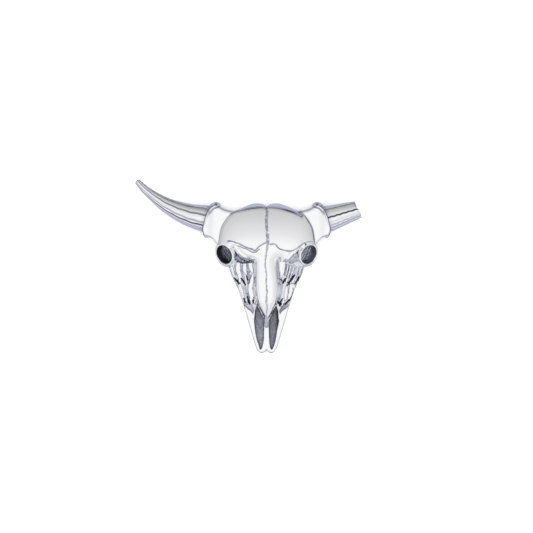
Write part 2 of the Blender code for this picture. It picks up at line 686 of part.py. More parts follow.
def build():
    """Make every sub-part of the skull."""
    clearScene()
    bone = makeMaterial("polished face", (0.86, 0.86, 0.88), 0.12)
    cheekMetal = makeMaterial("carved cheeks", (0.72, 0.72, 0.76), 0.22)
    hornMetal = makeMaterial("fluted horns", (0.8, 0.8, 0.84), 0.16)
    socketMetal = makeMaterial("eye sockets", (0.8, 0.8, 0.83), 0.15)
    carved = [makeForehead(bone), makeNose(bone)]
    makeMuzzle(bone)
    for side, word in ((-1, "left"), (1, "right")):
        carved.append(makeCheek(side, f"cheek_{word}", cheekMetal))
        carved.append(makeBoss(side, f"horn_base_{word}", bone))
    for side, word in ((-1, "left"), (1, "right")):
        for neighbour in carved:
            if neighbour.name.endswith(("left", "right")) and not neighbour.name.endswith(word):
                continue
            combine(neighbour, eyeSolid(side, partGap, None, "socket cutter"), "DIFFERENCE")
        eyeSolid(side, 0.0, socketMetal, f"eye_socket_{word}")
    hornSolid("horn_left", wholeHorn, -1, hornMetal, False)
    hornSolid("horn_right", brokenHorn, 1, hornMetal, True)


build()
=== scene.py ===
import math

import bmesh
import bpy
import numpy as np
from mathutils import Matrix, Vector
from mathutils.geometry import delaunay_2d_cdt


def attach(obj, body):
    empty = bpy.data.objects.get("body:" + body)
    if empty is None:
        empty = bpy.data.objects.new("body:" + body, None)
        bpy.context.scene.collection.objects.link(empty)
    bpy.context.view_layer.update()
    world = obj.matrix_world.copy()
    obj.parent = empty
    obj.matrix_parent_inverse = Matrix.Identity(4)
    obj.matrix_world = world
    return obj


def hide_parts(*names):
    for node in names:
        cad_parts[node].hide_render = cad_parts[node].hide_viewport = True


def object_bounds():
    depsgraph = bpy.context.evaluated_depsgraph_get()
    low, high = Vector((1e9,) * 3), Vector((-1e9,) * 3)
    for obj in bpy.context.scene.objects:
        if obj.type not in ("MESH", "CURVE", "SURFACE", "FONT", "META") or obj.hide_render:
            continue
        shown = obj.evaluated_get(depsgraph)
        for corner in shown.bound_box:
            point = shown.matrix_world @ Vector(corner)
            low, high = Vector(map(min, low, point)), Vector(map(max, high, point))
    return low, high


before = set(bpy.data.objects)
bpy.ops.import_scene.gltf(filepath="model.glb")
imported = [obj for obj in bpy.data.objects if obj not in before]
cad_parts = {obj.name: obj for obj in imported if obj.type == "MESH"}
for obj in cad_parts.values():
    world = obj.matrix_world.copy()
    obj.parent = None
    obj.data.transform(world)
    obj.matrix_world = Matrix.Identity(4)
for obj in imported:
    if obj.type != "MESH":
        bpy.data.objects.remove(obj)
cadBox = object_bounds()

# A small cast metal cow skull, polished on its high forms and blackened in its grooves.
# Lengths are in millimetres until a mesh is made. The skull lies on its flat back with its
# face to +Z and the top of its head to +Y. Left and right are the viewer's: side -1 and side 1.
millimetre = 0.001
floorHeight = max(cadBox[0].z / millimetre, 0.0)  # the plane of the flat back

# Lines of the face, given for the viewer's right and mirrored for the left
lines = {
    "crownEdge": [(0.0, 12.98), (0.66, 13.51), (1.76, 13.77), (3.08, 13.66), (4.18, 13.27), (5.5, 12.7),
                  (7.15, 12.1)],
    "bossTopEdge": [(7.15, 12.1), (8.2, 12.3), (9.3, 12.62), (10.1, 13.1), (10.7, 13.4)],
    "collarEdge": [(10.7, 13.4), (11.9, 12.9), (12.8, 11.6), (13.35, 10.15), (13.65, 8.95), (13.83, 7.8),
                   (13.3, 6.6)],
    "bossLowEdge": [(13.3, 6.6), (12.2, 6.16), (11.5, 5.6), (10.95, 4.84)],
    "templeEdge": [(10.95, 4.84), (10.56, 5.3)],
    "crease": [(10.56, 5.3), (10.34, 7.04), (10.03, 8.36), (9.46, 9.53), (8.8, 10.52), (8.03, 11.4), (7.15, 12.1)],
    "barEdge": [(2.86, 0.9), (2.86, -0.9), (2.88, -3.1), (2.75, -5.3), (2.4, -7.1), (2.1, -8.2)],
    "nasalTaper": [(2.1, -8.2), (1.5, -9.4), (0.9, -10.7), (0.46, -11.55)],
    "nasalNotch": [(0.46, -11.55), (0.0, -11.2)],
    "cheekTop": [(7.15, 3.5), (8.0, 2.4), (8.45, 0.9)],
    "cheekEdge": [(8.5, 0.9), (8.2, -0.44), (7.7, -2.0), (6.88, -3.75), (6.15, -5.3), (5.6, -6.8), (5.06, -8.55)],
    "lipSeam": [(5.06, -8.55), (4.25, -9.45), (3.45, -10.0), (2.8, -11.0)],
    "slotLip": [(2.8, -11.0), (2.46, -9.7), (2.1, -8.2)],
    "muzzleEdge": [(5.06, -8.55), (4.33, -11.1), (3.66, -13.4), (3.0, -15.7), (2.5, -17.4), (2.05, -18.45),
                   (1.5, -19.06), (0.95, -19.18), (0.4, -18.94), (0.0, -18.6)],
    "medianLine": [(0.0, 12.8), (0.12, 11.6), (-0.02, 10.3), (0.02, 9.0), (0.12, 7.4), (0.26, 6.0), (0.2, 4.4),
                   (-0.05, 2.8), (-0.26, 0.8), (-0.22, -0.4), (0.02, -1.8), (-0.04, -3.1), (0.0, -4.4),
                   (0.12, -5.7), (-0.02, -7.4), (0.1, -8.8), (0.0, -10.2), (0.02, -11.2)],
}

# Lines that differ from side to side
sideLines = {
    "browEnd": {-1: [(10.56, 5.3), (9.4, 5.42), (8.6, 5.4)], 1: [(10.56, 5.3), (9.6, 5.3), (8.6, 5.2)]},
    "seam": {
        -1: [(8.6, 5.4), (7.8, 5.5), (6.7, 5.17), (5.6, 4.73), (4.3, 4.07), (3.2, 3.74), (2.5, 3.41),
             (1.87, 4.07), (1.0, 4.73), (0.0, 5.2)],
        1: [(8.6, 5.2), (8.03, 4.95), (6.93, 4.07), (6.05, 3.52), (5.17, 3.3), (4.4, 3.34), (3.2, 3.63),
            (2.53, 4.07), (1.87, 4.84), (0.9, 4.73), (0.0, 5.2)],
    },
    "browTip": {-1: [(8.6, 5.4), (8.0, 4.4), (7.15, 3.5)], 1: [(8.03, 4.95), (7.6, 4.2), (7.15, 3.5)]},
    "browEdge": {-1: [(7.15, 3.5), (6.45, 2.6), (5.5, 1.8), (4.5, 1.4), (3.4, 1.2), (2.86, 0.9)],
                 1: [(7.15, 3.5), (6.4, 2.6), (5.4, 1.5), (4.7, 1.0), (3.7, 0.85), (2.86, 0.85)]},
    "domeEdge": {
        -1: [(0.0, 12.91), (1.43, 12.91), (2.53, 12.8), (3.63, 12.65), (4.73, 12.43), (5.83, 12.23), (6.93, 11.97),
             (7.59, 11.62), (8.03, 11.11)],
        1: [(0.0, 12.98), (1.21, 12.94), (2.09, 12.85), (3.19, 12.63), (4.07, 12.36), (5.61, 11.88), (6.71, 11.44),
            (7.37, 11.09), (8.25, 10.38)],
    },
    "slot": {
        -1: [(2.49, -8.54), (2.53, -9.68), (2.57, -10.78), (2.71, -11.88), (2.62, -12.98), (2.51, -14.08),
             (2.33, -15.18), (2.09, -16.28), (1.72, -17.38), (1.36, -18.4), (0.99, -17.93), (0.73, -16.94),
             (0.59, -15.84), (0.57, -14.52), (0.51, -12.98), (0.51, -11.88), (0.7, -11.33), (1.14, -10.63),
             (1.61, -9.68), (2.09, -8.62)],
        1: [(2.4, -8.47), (2.55, -9.02), (2.57, -10.34), (2.62, -11.44), (2.73, -12.1), (2.53, -13.2),
            (2.31, -14.3), (2.13, -15.4), (1.94, -16.5), (1.61, -17.6), (1.17, -18.4), (0.84, -17.93),
            (0.66, -16.72), (0.57, -15.18), (0.55, -12.98), (0.62, -11.77), (0.99, -10.89), (1.58, -9.79),
            (2.05, -8.91)],
    },
}
browStart = {-1: 0, 1: 1}  # the first place of the seam that the nose touches


def lineOf(name, side, step=0.1):
    points = sideLines[name][side] if name in sideLines else lines[name]
    return smoothLine([(side * x, y) for x, y in points], step)


def smoothLine(points, step):
    # a smooth line through the points; a third value of a point is carried along
    known = np.array(points, dtype=float)
    ends = np.vstack([2 * known[0] - known[1], known, 2 * known[-1] - known[-2]])
    line = []
    for start in range(len(known) - 1):
        before, first, second, after = ends[start:start + 4]
        pieces = max(1, round(float(np.linalg.norm((second - first)[:2])) / step))
        for piece in range(pieces):
            t = piece / pieces
            bend = 2 * before - 5 * first + 4 * second - after
            twist = 3 * first - before - 3 * second + after
            line.append(0.5 * (2 * first + (second - before) * t + bend * t ** 2 + twist * t ** 3))
    line.append(known[-1])
    return np.array(line)


def distanceTo(line, points):
    nearest = np.full(len(points), np.inf)
    for first, second in zip(line[:-1], line[1:]):
        run = second - first
        along = np.clip(((points - first) @ run) / max(float(run @ run), 1e-12), 0, 1)
        offset = points - (first + along[:, None] * run)
        nearest = np.minimum(nearest, offset[:, 0] ** 2 + offset[:, 1] ** 2)
    return np.sqrt(nearest)


def strand(points, path, side=1):
    # 1 on the middle of a tapering strip, 0 at its edge and below 0 outside; a path point is x, y, half width
    line = smoothLine([(side * x, y, width) for x, y, width in path], 0.15)
    best = np.full(len(points), -9.0)
    for first, second in zip(line[:-1], line[1:]):
        run = second - first
        along = np.clip(((points - first[:2]) @ run[:2]) / max(float(run[:2] @ run[:2]), 1e-12), 0, 1)
        offset = points - (first[:2] + along[:, None] * run[:2])
        width = first[2] + along * run[2]
        best = np.maximum(best, 1 - np.hypot(offset[:, 0], offset[:, 1]) / width)
    return best


def inside(outline, points):
    result = np.zeros(len(points), dtype=bool)
    for first, second in zip(outline, np.roll(outline, -1, axis=0)):
        spans = (first[1] > points[:, 1]) != (second[1] > points[:, 1])
        rise = second[1] - first[1] if abs(second[1] - first[1]) > 1e-12 else 1e-12
        crossing = first[0] + (points[:, 1] - first[1]) * (second[0] - first[0]) / rise
        result ^= spans & (points[:, 0] < crossing)
    return result


def smoothStep(low, high, value):
    t = np.clip((value - low) / (high - low), 0, 1)
    return t * t * (3 - 2 * t)


def wave(points, scale, seed):
    # smooth uneven waves between about -1 and 1, from sines with seeded headings
    random = np.random.default_rng(seed)
    total = np.zeros(len(points))
    for _ in range(7):
        heading = random.uniform(0, 2 * math.pi)
        pitch = scale * random.uniform(0.6, 1.7)
        along = points[:, 0] * math.cos(heading) + points[:, 1] * math.sin(heading)
        total += np.sin(along * 2 * math.pi / pitch + random.uniform(0, 2 * math.pi))
    return total / 4


def shaken(points, size, scale, seed):
    # the points moved a little, so that a line drawn with them looks cut by hand
    return points + size * np.stack([wave(points, scale, seed), wave(points, scale, seed + 1)], axis=1)


def rollOver(away, tilts):
    # how far a surface has fallen where it tilts by so many degrees so far from its edge
    places, degrees = zip(*tilts)
    fine = np.linspace(places[0], places[-1], 240)
    slope = np.tan(np.radians(np.interp(fine, places, degrees)))
    drops = (slope[1:] + slope[:-1]) / 2 * np.diff(fine)
    return np.interp(away, fine, np.concatenate([np.cumsum(drops[::-1])[::-1], [0]]))


def profileAt(profile, along):
    places, heights = zip(*profile)
    return np.interp(along, places, heights)


# Relief pieces: each is a closed solid with a flat back over its outline
relief = {
    "step": 0.1,  # mm between the points of the grid
    "lineStep": 0.1,  # mm between the points of an outline
    "rings": (0.012, 0.05, 0.1, 0.17, 0.25, 0.34),  # mm in from the edge, close where the surface rolls over
    "overlap": 0.2,  # mm that a piece runs on under its neighbour
    "eyeOverlap": 0.6,  # the same, beside an eye socket
    "backBevel": 0.12,  # mm of bevel round the back
    "mitreFrom": 0.5,  # sine of the bend from which a corner is mitred
    "loopReach": 30,  # points within which an outline may tie a loop
}


def joinOutline(borders):
    points = []
    insets = []
    for line, inset in borders:
        points.extend(line[:-1])
        insets.extend([inset] * (len(line) - 1))
    outline = np.array(points)
    turn = np.roll(outline, -1, axis=0)
    area = 0.5 * float(np.sum(outline[:, 0] * turn[:, 1] - turn[:, 0] * outline[:, 1]))
    if area < 0:
        outline = outline[::-1]
        insets = insets[::-1][1:] + insets[::-1][:1]
    return outline, np.array(insets)


def insetOutline(outline, insets):
    following = np.roll(outline, -1, axis=0) - outline
    lengths = np.maximum(np.hypot(following[:, 0], following[:, 1]), 1e-9)
    inward = np.stack([-following[:, 1], following[:, 0]], axis=1) / lengths[:, None]
    moved = []
    for here in range(len(outline)):
        first, second = inward[here - 1], inward[here]
        goal = np.array([insets[here - 1], insets[here]])
        spread = first[0] * second[1] - first[1] * second[0]
        if abs(spread) > relief["mitreFrom"]:
            shift = np.linalg.solve(np.array([first, second]), goal)
        else:
            middle = first + second
            shift = middle / np.linalg.norm(middle) * float(goal.mean())
        moved.append(outline[here] + shift)
    return np.array(moved)


def withoutLoops(outline):
    # cuts off the small loops that a hidden border's overlap ties at a corner
    for _ in range(2):
        outline = np.roll(outline, len(outline) // 2, axis=0)
        here = 0
        while here < len(outline) - 3:
            start = outline[here]
            run = outline[here + 1] - start
            last = min(here + relief["loopReach"], len(outline) - 1)
            gaps = outline[here + 2:last] - start
            others = outline[here + 3:last + 1] - outline[here + 2:last]
            cross = run[0] * others[:, 1] - run[1] * others[:, 0]
            cross = np.where(np.abs(cross) < 1e-12, 1e-12, cross)
            first = (gaps[:, 0] * others[:, 1] - gaps[:, 1] * others[:, 0]) / cross
            second = (gaps[:, 0] * run[1] - gaps[:, 1] * run[0]) / cross
            hits = np.flatnonzero((first > 0) & (first < 1) & (second > 0) & (second < 1))
            if len(hits):
                meeting = start + run * first[hits[-1]]
                outline = np.vstack([outline[:here + 1], meeting, outline[here + 3 + hits[-1]:]])
            here += 1
    return outline


def fillPoints(outline, step):
    # rings that follow the edge, then a grid of near even triangles
    closed = np.vstack([outline, outline[:1]])
    found = []
    for ring in relief["rings"]:
        line = insetOutline(outline, np.full(len(outline), ring))
        line = line[inside(outline, line)]
        found.append(line[distanceTo(closed, line) > ring * 0.9])
    low = outline.min(axis=0)
    high = outline.max(axis=0)
    rowStep = step * math.sqrt(3) / 2
    rows = int((high[1] - low[1]) / rowStep) + 2
    columns = int((high[0] - low[0]) / step) + 2
    row, column = np.meshgrid(np.arange(rows), np.arange(columns), indexing="ij")
    grid = np.stack([low[0] + (column + 0.5 * (row % 2)) * step, low[1] + row * rowStep], axis=-1).reshape(-1, 2)
    grid = grid[inside(outline, grid)]
    found.append(grid[distanceTo(closed, grid) > relief["rings"][-1] + step * 0.5])
    return np.vstack(found)


def triangulate(outline, inner):
    flat = [Vector((float(x), float(y))) for x, y in np.vstack([outline, inner])]
    places, _, faces, sources, _, _ = delaunay_2d_cdt(flat, [], [list(range(len(outline)))], 1, 1e-7)
    order = {}
    for index, origin in enumerate(sources):
        for source in origin:
            order[source] = index
    return np.array([tuple(place) for place in places]), faces, order


def addMesh(name, places, faces, layers, smoothAngle=60):
    # a mesh object of points in millimetres, with its own values, one a point
    data = bpy.data.meshes.new(name)
    # two outline points that meet are one corner, and a face names it once
    faces = [tuple(dict.fromkeys(face)) for face in faces]
    faces = [face for face in faces if len(face) > 2]
    data.from_pydata([tuple(place) for place in np.asarray(places) * millimetre], [], faces)
    data.update()
    for layer, values in layers.items():
        values = np.asarray(values, dtype=np.float32)
        if values.ndim == 1:
            spot = data.attributes.new(layer, "FLOAT", "POINT")
            spot.data.foreach_set("value", values)
        else:
            spot = data.attributes.new(layer, "FLOAT_VECTOR", "POINT")
            spot.data.foreach_set("vector", values.ravel())
    check = bmesh.new()
    check.from_mesh(data)
    bmesh.ops.recalc_face_normals(check, faces=check.faces[:])
    if check.calc_volume(signed=True) < 0:
        bmesh.ops.reverse_faces(check, faces=check.faces[:])
    check.to_mesh(data)
    check.free()
    data.shade_smooth()
    data.set_sharp_from_angle(angle=math.radians(smoothAngle))
    thing = bpy.data.objects.new(name, data)
    bpy.context.scene.collection.objects.link(thing)
    return thing


def reliefPiece(name, borders, surface, step=relief["step"]):
    # surface gives the height of each point and how far it is darkened, by tarnish and by painted shade
    outline, insets = joinOutline(borders)
    outline = withoutLoops(insetOutline(outline, insets))
    plan, faces, order = triangulate(outline, fillPoints(outline, step))
    height, tarnishAndShadeAmount = surface(plan)
    count = len(outline)
    bevel = relief["backBevel"]
    foot = insetOutline(outline, np.full(count, bevel))
    places = np.vstack([
        np.column_stack([plan, np.maximum(height, floorHeight + 2 * bevel)]),
        np.column_stack([outline, np.full(count, floorHeight + bevel)]),
        np.column_stack([foot, np.full(count, floorHeight)]),
    ])
    top = len(plan)
    rows = [[order[corner] for corner in range(count)], list(range(top, top + count)),
            list(range(top + count, top + 2 * count))]
    allFaces = [tuple(face) for face in faces]
    for high, low in zip(rows[:-1], rows[1:]):
        for corner in range(count):
            after = (corner + 1) % count
            allFaces.append((high[after], high[corner], low[corner], low[after]))
    allFaces.append(tuple(reversed(rows[2])))
    values = np.concatenate([tarnishAndShadeAmount, np.zeros(2 * count)])
    return addMesh(name, places, allFaces, {"tarnishAndShadeAmount": values})


def border(name, side, under=0.0):
    # one border of an outline; a hidden one runs on under its neighbour
    return lineOf(name, side, relief["lineStep"]), -under


def backwards(part):
    return part[0][::-1], part[1]


def bothSides(half):
    # a whole outline from each side's borders, walked from one end of the midline to the other
    return half[1] + [backwards(part) for part in reversed(half[-1])]


def cutLine(points, line, width, depth):
    # the depth of a round-bedded engraved line, and how stained its bed is
    near = np.clip(1 - (distanceTo(line, points) / width) ** 2, 0, 1)
    return depth * near ** 1.5, near


# Engraved lines: the seam across the brow and the groove down the middle
engraving = {
    "seamWidth": 0.17,
    "seamDepth": 0.2,
    "seamStain": {-1: 0.5, 1: 0.45},
    "eyeArc": [(8.0, 4.95, 0.1), (8.7, 5.3, 0.17), (9.6, 5.42, 0.17), (10.4, 5.3, 0.12)],
    "secondSeam": [(6.3, 4.4, 0.1), (4.7, 3.85, 0.12), (3.6, 3.3, 0.14), (2.6, 2.95, 0.14), (1.5, 3.8, 0.1)],
    "medianWidth": [(-11.2, 0.3), (-9.5, 0.25), (-5.5, 0.2), (-4.0, 0.13), (1.0, 0.15), (3.5, 0.22), (4.8, 0.28)],
    "medianDepth": [(3.6, 0.2), (4.8, 0.27)],
    "medianStain": 0.38,
    "medianSpots": 0.2,
}


def engravedAt(points):
    depth = np.zeros(len(points))
    tarnishAndShadeAmount = np.zeros(len(points))
    moved = shaken(points, 0.06, 0.9, 3)
    for side in (-1, 1):
        gap = 0.75 + 0.35 * wave(points, 1.4, 7)
        cut, mark = cutLine(moved, lineOf("seam", side, 0.2), engraving["seamWidth"], engraving["seamDepth"])
        depth = np.maximum(depth, cut)
        tarnishAndShadeAmount = np.maximum(tarnishAndShadeAmount, mark * engraving["seamStain"][side] * np.clip(gap, 0, 1.2))
    near = np.clip(strand(points, engraving["eyeArc"], 1), 0, 1)
    depth = np.maximum(depth, 0.5 * engraving["seamDepth"] * near)
    tarnishAndShadeAmount = np.maximum(tarnishAndShadeAmount, 0.4 * near)
    near = np.clip(strand(moved, engraving["secondSeam"], -1), 0, 1)
    depth = np.maximum(depth, engraving["seamDepth"] * near ** 0.7)
    tarnishAndShadeAmount = np.maximum(tarnishAndShadeAmount, 0.55 * smoothStep(0.1, 0.7, near))
    moved = shaken(points, 0.07, 1.1, 5)
    width = profileAt(engraving["medianWidth"], points[:, 1]) * (1 + 0.3 * wave(points, 1.6, 9))
    near = np.clip(1 - (distanceTo(lineOf("medianLine", 1, 0.2), moved) / width) ** 2, 0, 1)
    depth = np.maximum(depth, profileAt(engraving["medianDepth"], points[:, 1]) * near ** 1.3)
    tarnishAndShadeAmount = np.maximum(tarnishAndShadeAmount, near * (engraving["medianStain"] + engraving["medianSpots"] * wave(points, 1.0, 12)))
    return depth, tarnishAndShadeAmount


# Forehead: two smooth domes, steep behind the crown's edge
forehead = {
    "height": 9.2,
    "fallStart": 4.0,  # mm up the face where the domes begin to fall back
    "fall": 0.023,
    "sideFall": 1.02,
    "sideReach": 10.0,
    "crownTilts": [(-2.0, 62), (-0.3, 58), (-0.05, 48), (0.15, 28), (0.4, 8), (0.8, 0)],
    "creaseTilts": {-1: [(0.0, 15), (0.3, 9), (0.8, 0)], 1: [(0.0, 42), (0.12, 24), (0.25, 5), (0.5, 0)]},
    # a dark line painted along each dome's rolled edge: a painted reflection of the dark horizon, strongest on the
    # right
    "crownReflectionLine": {-1: [(0.6, 0.3), (1.4, 0.6), (4.2, 0.6), (5.4, 0.2)], 1: [(1.0, 0.2), (3.4, 0.4), (4.4, 0.95), (6.0, 0.9),
                                                                            (6.8, 0.25), (7.6, 0.0)]},
}


def foreheadSurface(points):
    height = forehead["height"] - forehead["fall"] * np.maximum(points[:, 1] - forehead["fallStart"], 0) ** 2
    height -= forehead["sideFall"] * (np.abs(points[:, 0]) / forehead["sideReach"]) ** 4
    tarnishAndShadeAmount = np.zeros(len(points))
    for side in (-1, 1):
        edge = lineOf("domeEdge", side)
        mine = points[:, 0] * side >= 0
        level = np.interp(points[:, 0] * side, edge[:, 0] * side, edge[:, 1])
        away = distanceTo(edge, points) * np.where(points[:, 1] < level, 1, -1)
        drop = rollOver(away, forehead["crownTilts"]) * (1 - smoothStep(7.3, 8.4, np.abs(points[:, 0])))
        turned = rollOver(distanceTo(lineOf("crease", side), points), forehead["creaseTilts"][side])
        height -= np.where(mine, np.maximum(drop, turned), 0)
        # painted reflection: a dark line along the dome's edge, where the surface rolls over through about 45 degrees
        strength = profileAt(forehead["crownReflectionLine"][side], np.abs(points[:, 0]))
        line = np.clip(1 - (np.abs(away + 0.02) / 0.24) ** 2, 0, 1)
        tarnishAndShadeAmount = np.maximum(tarnishAndShadeAmount, np.where(mine, line * strength, 0))
    near = np.clip(1 - distanceTo(lineOf("crease", 1), points) / 0.34, 0, 1)
    tarnishAndShadeAmount = np.maximum(tarnishAndShadeAmount, 0.5 * near * (1 - smoothStep(9.6, 10.8, points[:, 1])))
    cut, mark = engravedAt(points)
    return height - cut, np.maximum(tarnishAndShadeAmount, mark)


# Nose: brow arcs and the nasal bar
nose = {
    "profile": [(-11.6, 5.9), (-8.0, 6.8), (-3.0, 7.7), (1.5, 8.6), (5.5, 9.15)],
    "browFall": 0.012,
    "browTilts": [(0.0, 76), (0.15, 60), (0.4, 42), (0.75, 25), (1.2, 10), (1.6, 0)],
    "barTilts": {-1: [(0.0, 68), (0.6, 61), (0.78, 40), (0.95, 16), (1.2, 6), (2.0, 0)],
                 1: [(0.0, 68), (0.6, 61), (0.78, 40), (0.95, 20), (1.3, 13), (2.0, 9), (2.7, 0)]},
    "wallWidth": {-1: [(-8.0, 0.8), (-5.0, 1.0), (1.0, 1.0)], 1: [(-8.0, 0.45), (-4.0, 0.75), (0.0, 1.1)]},
    "barFoot": 0.15,  # stain at the foot of the bar's walls
    "taperStain": {-1: 0.55, 1: 1.0},
    # painted shadow under the brows' lower edge, dark on the left and faint on the right
    "browShadow": {-1: [(2.8, 0.8), (5.2, 0.8), (5.8, 0.25), (7.2, 0.1)], 1: [(2.8, 0.05), (4.6, 0.2), (7.2, 0.15)]},
}


def noseSurface(points):
    height = profileAt(nose["profile"], points[:, 1]) - nose["browFall"] * points[:, 0] ** 2
    tarnishAndShadeAmount = np.zeros(len(points))
    for side in (-1, 1):
        brow = distanceTo(lineOf("browEdge", side), points)
        bar = distanceTo(np.vstack([lineOf("barEdge", side), lineOf("nasalTaper", side)]), points)
        width = profileAt(nose["wallWidth"][side], points[:, 1])
        height -= np.maximum(rollOver(brow, nose["browTilts"]), width * rollOver(bar / width, nose["barTilts"][side]))
        tarnishAndShadeAmount = np.maximum(tarnishAndShadeAmount, nose["barFoot"] * np.clip(1 - bar / 0.3, 0, 1))
        taper = distanceTo(lineOf("nasalTaper", side), points)
        strength = nose["taperStain"][side] * smoothStep(-11.2, -10.2, points[:, 1])
        tarnishAndShadeAmount = np.maximum(tarnishAndShadeAmount, strength * np.clip(1.2 - taper / 0.2, 0, 1))
        # painted shadow along the brow's lower edge
        strength = profileAt(nose["browShadow"][side], side * points[:, 0])
        tarnishAndShadeAmount = np.maximum(tarnishAndShadeAmount, strength * np.clip(1 - brow / 0.3, 0, 1))
    cut, mark = engravedAt(points)
    return height - cut, np.maximum(tarnishAndShadeAmount, mark)


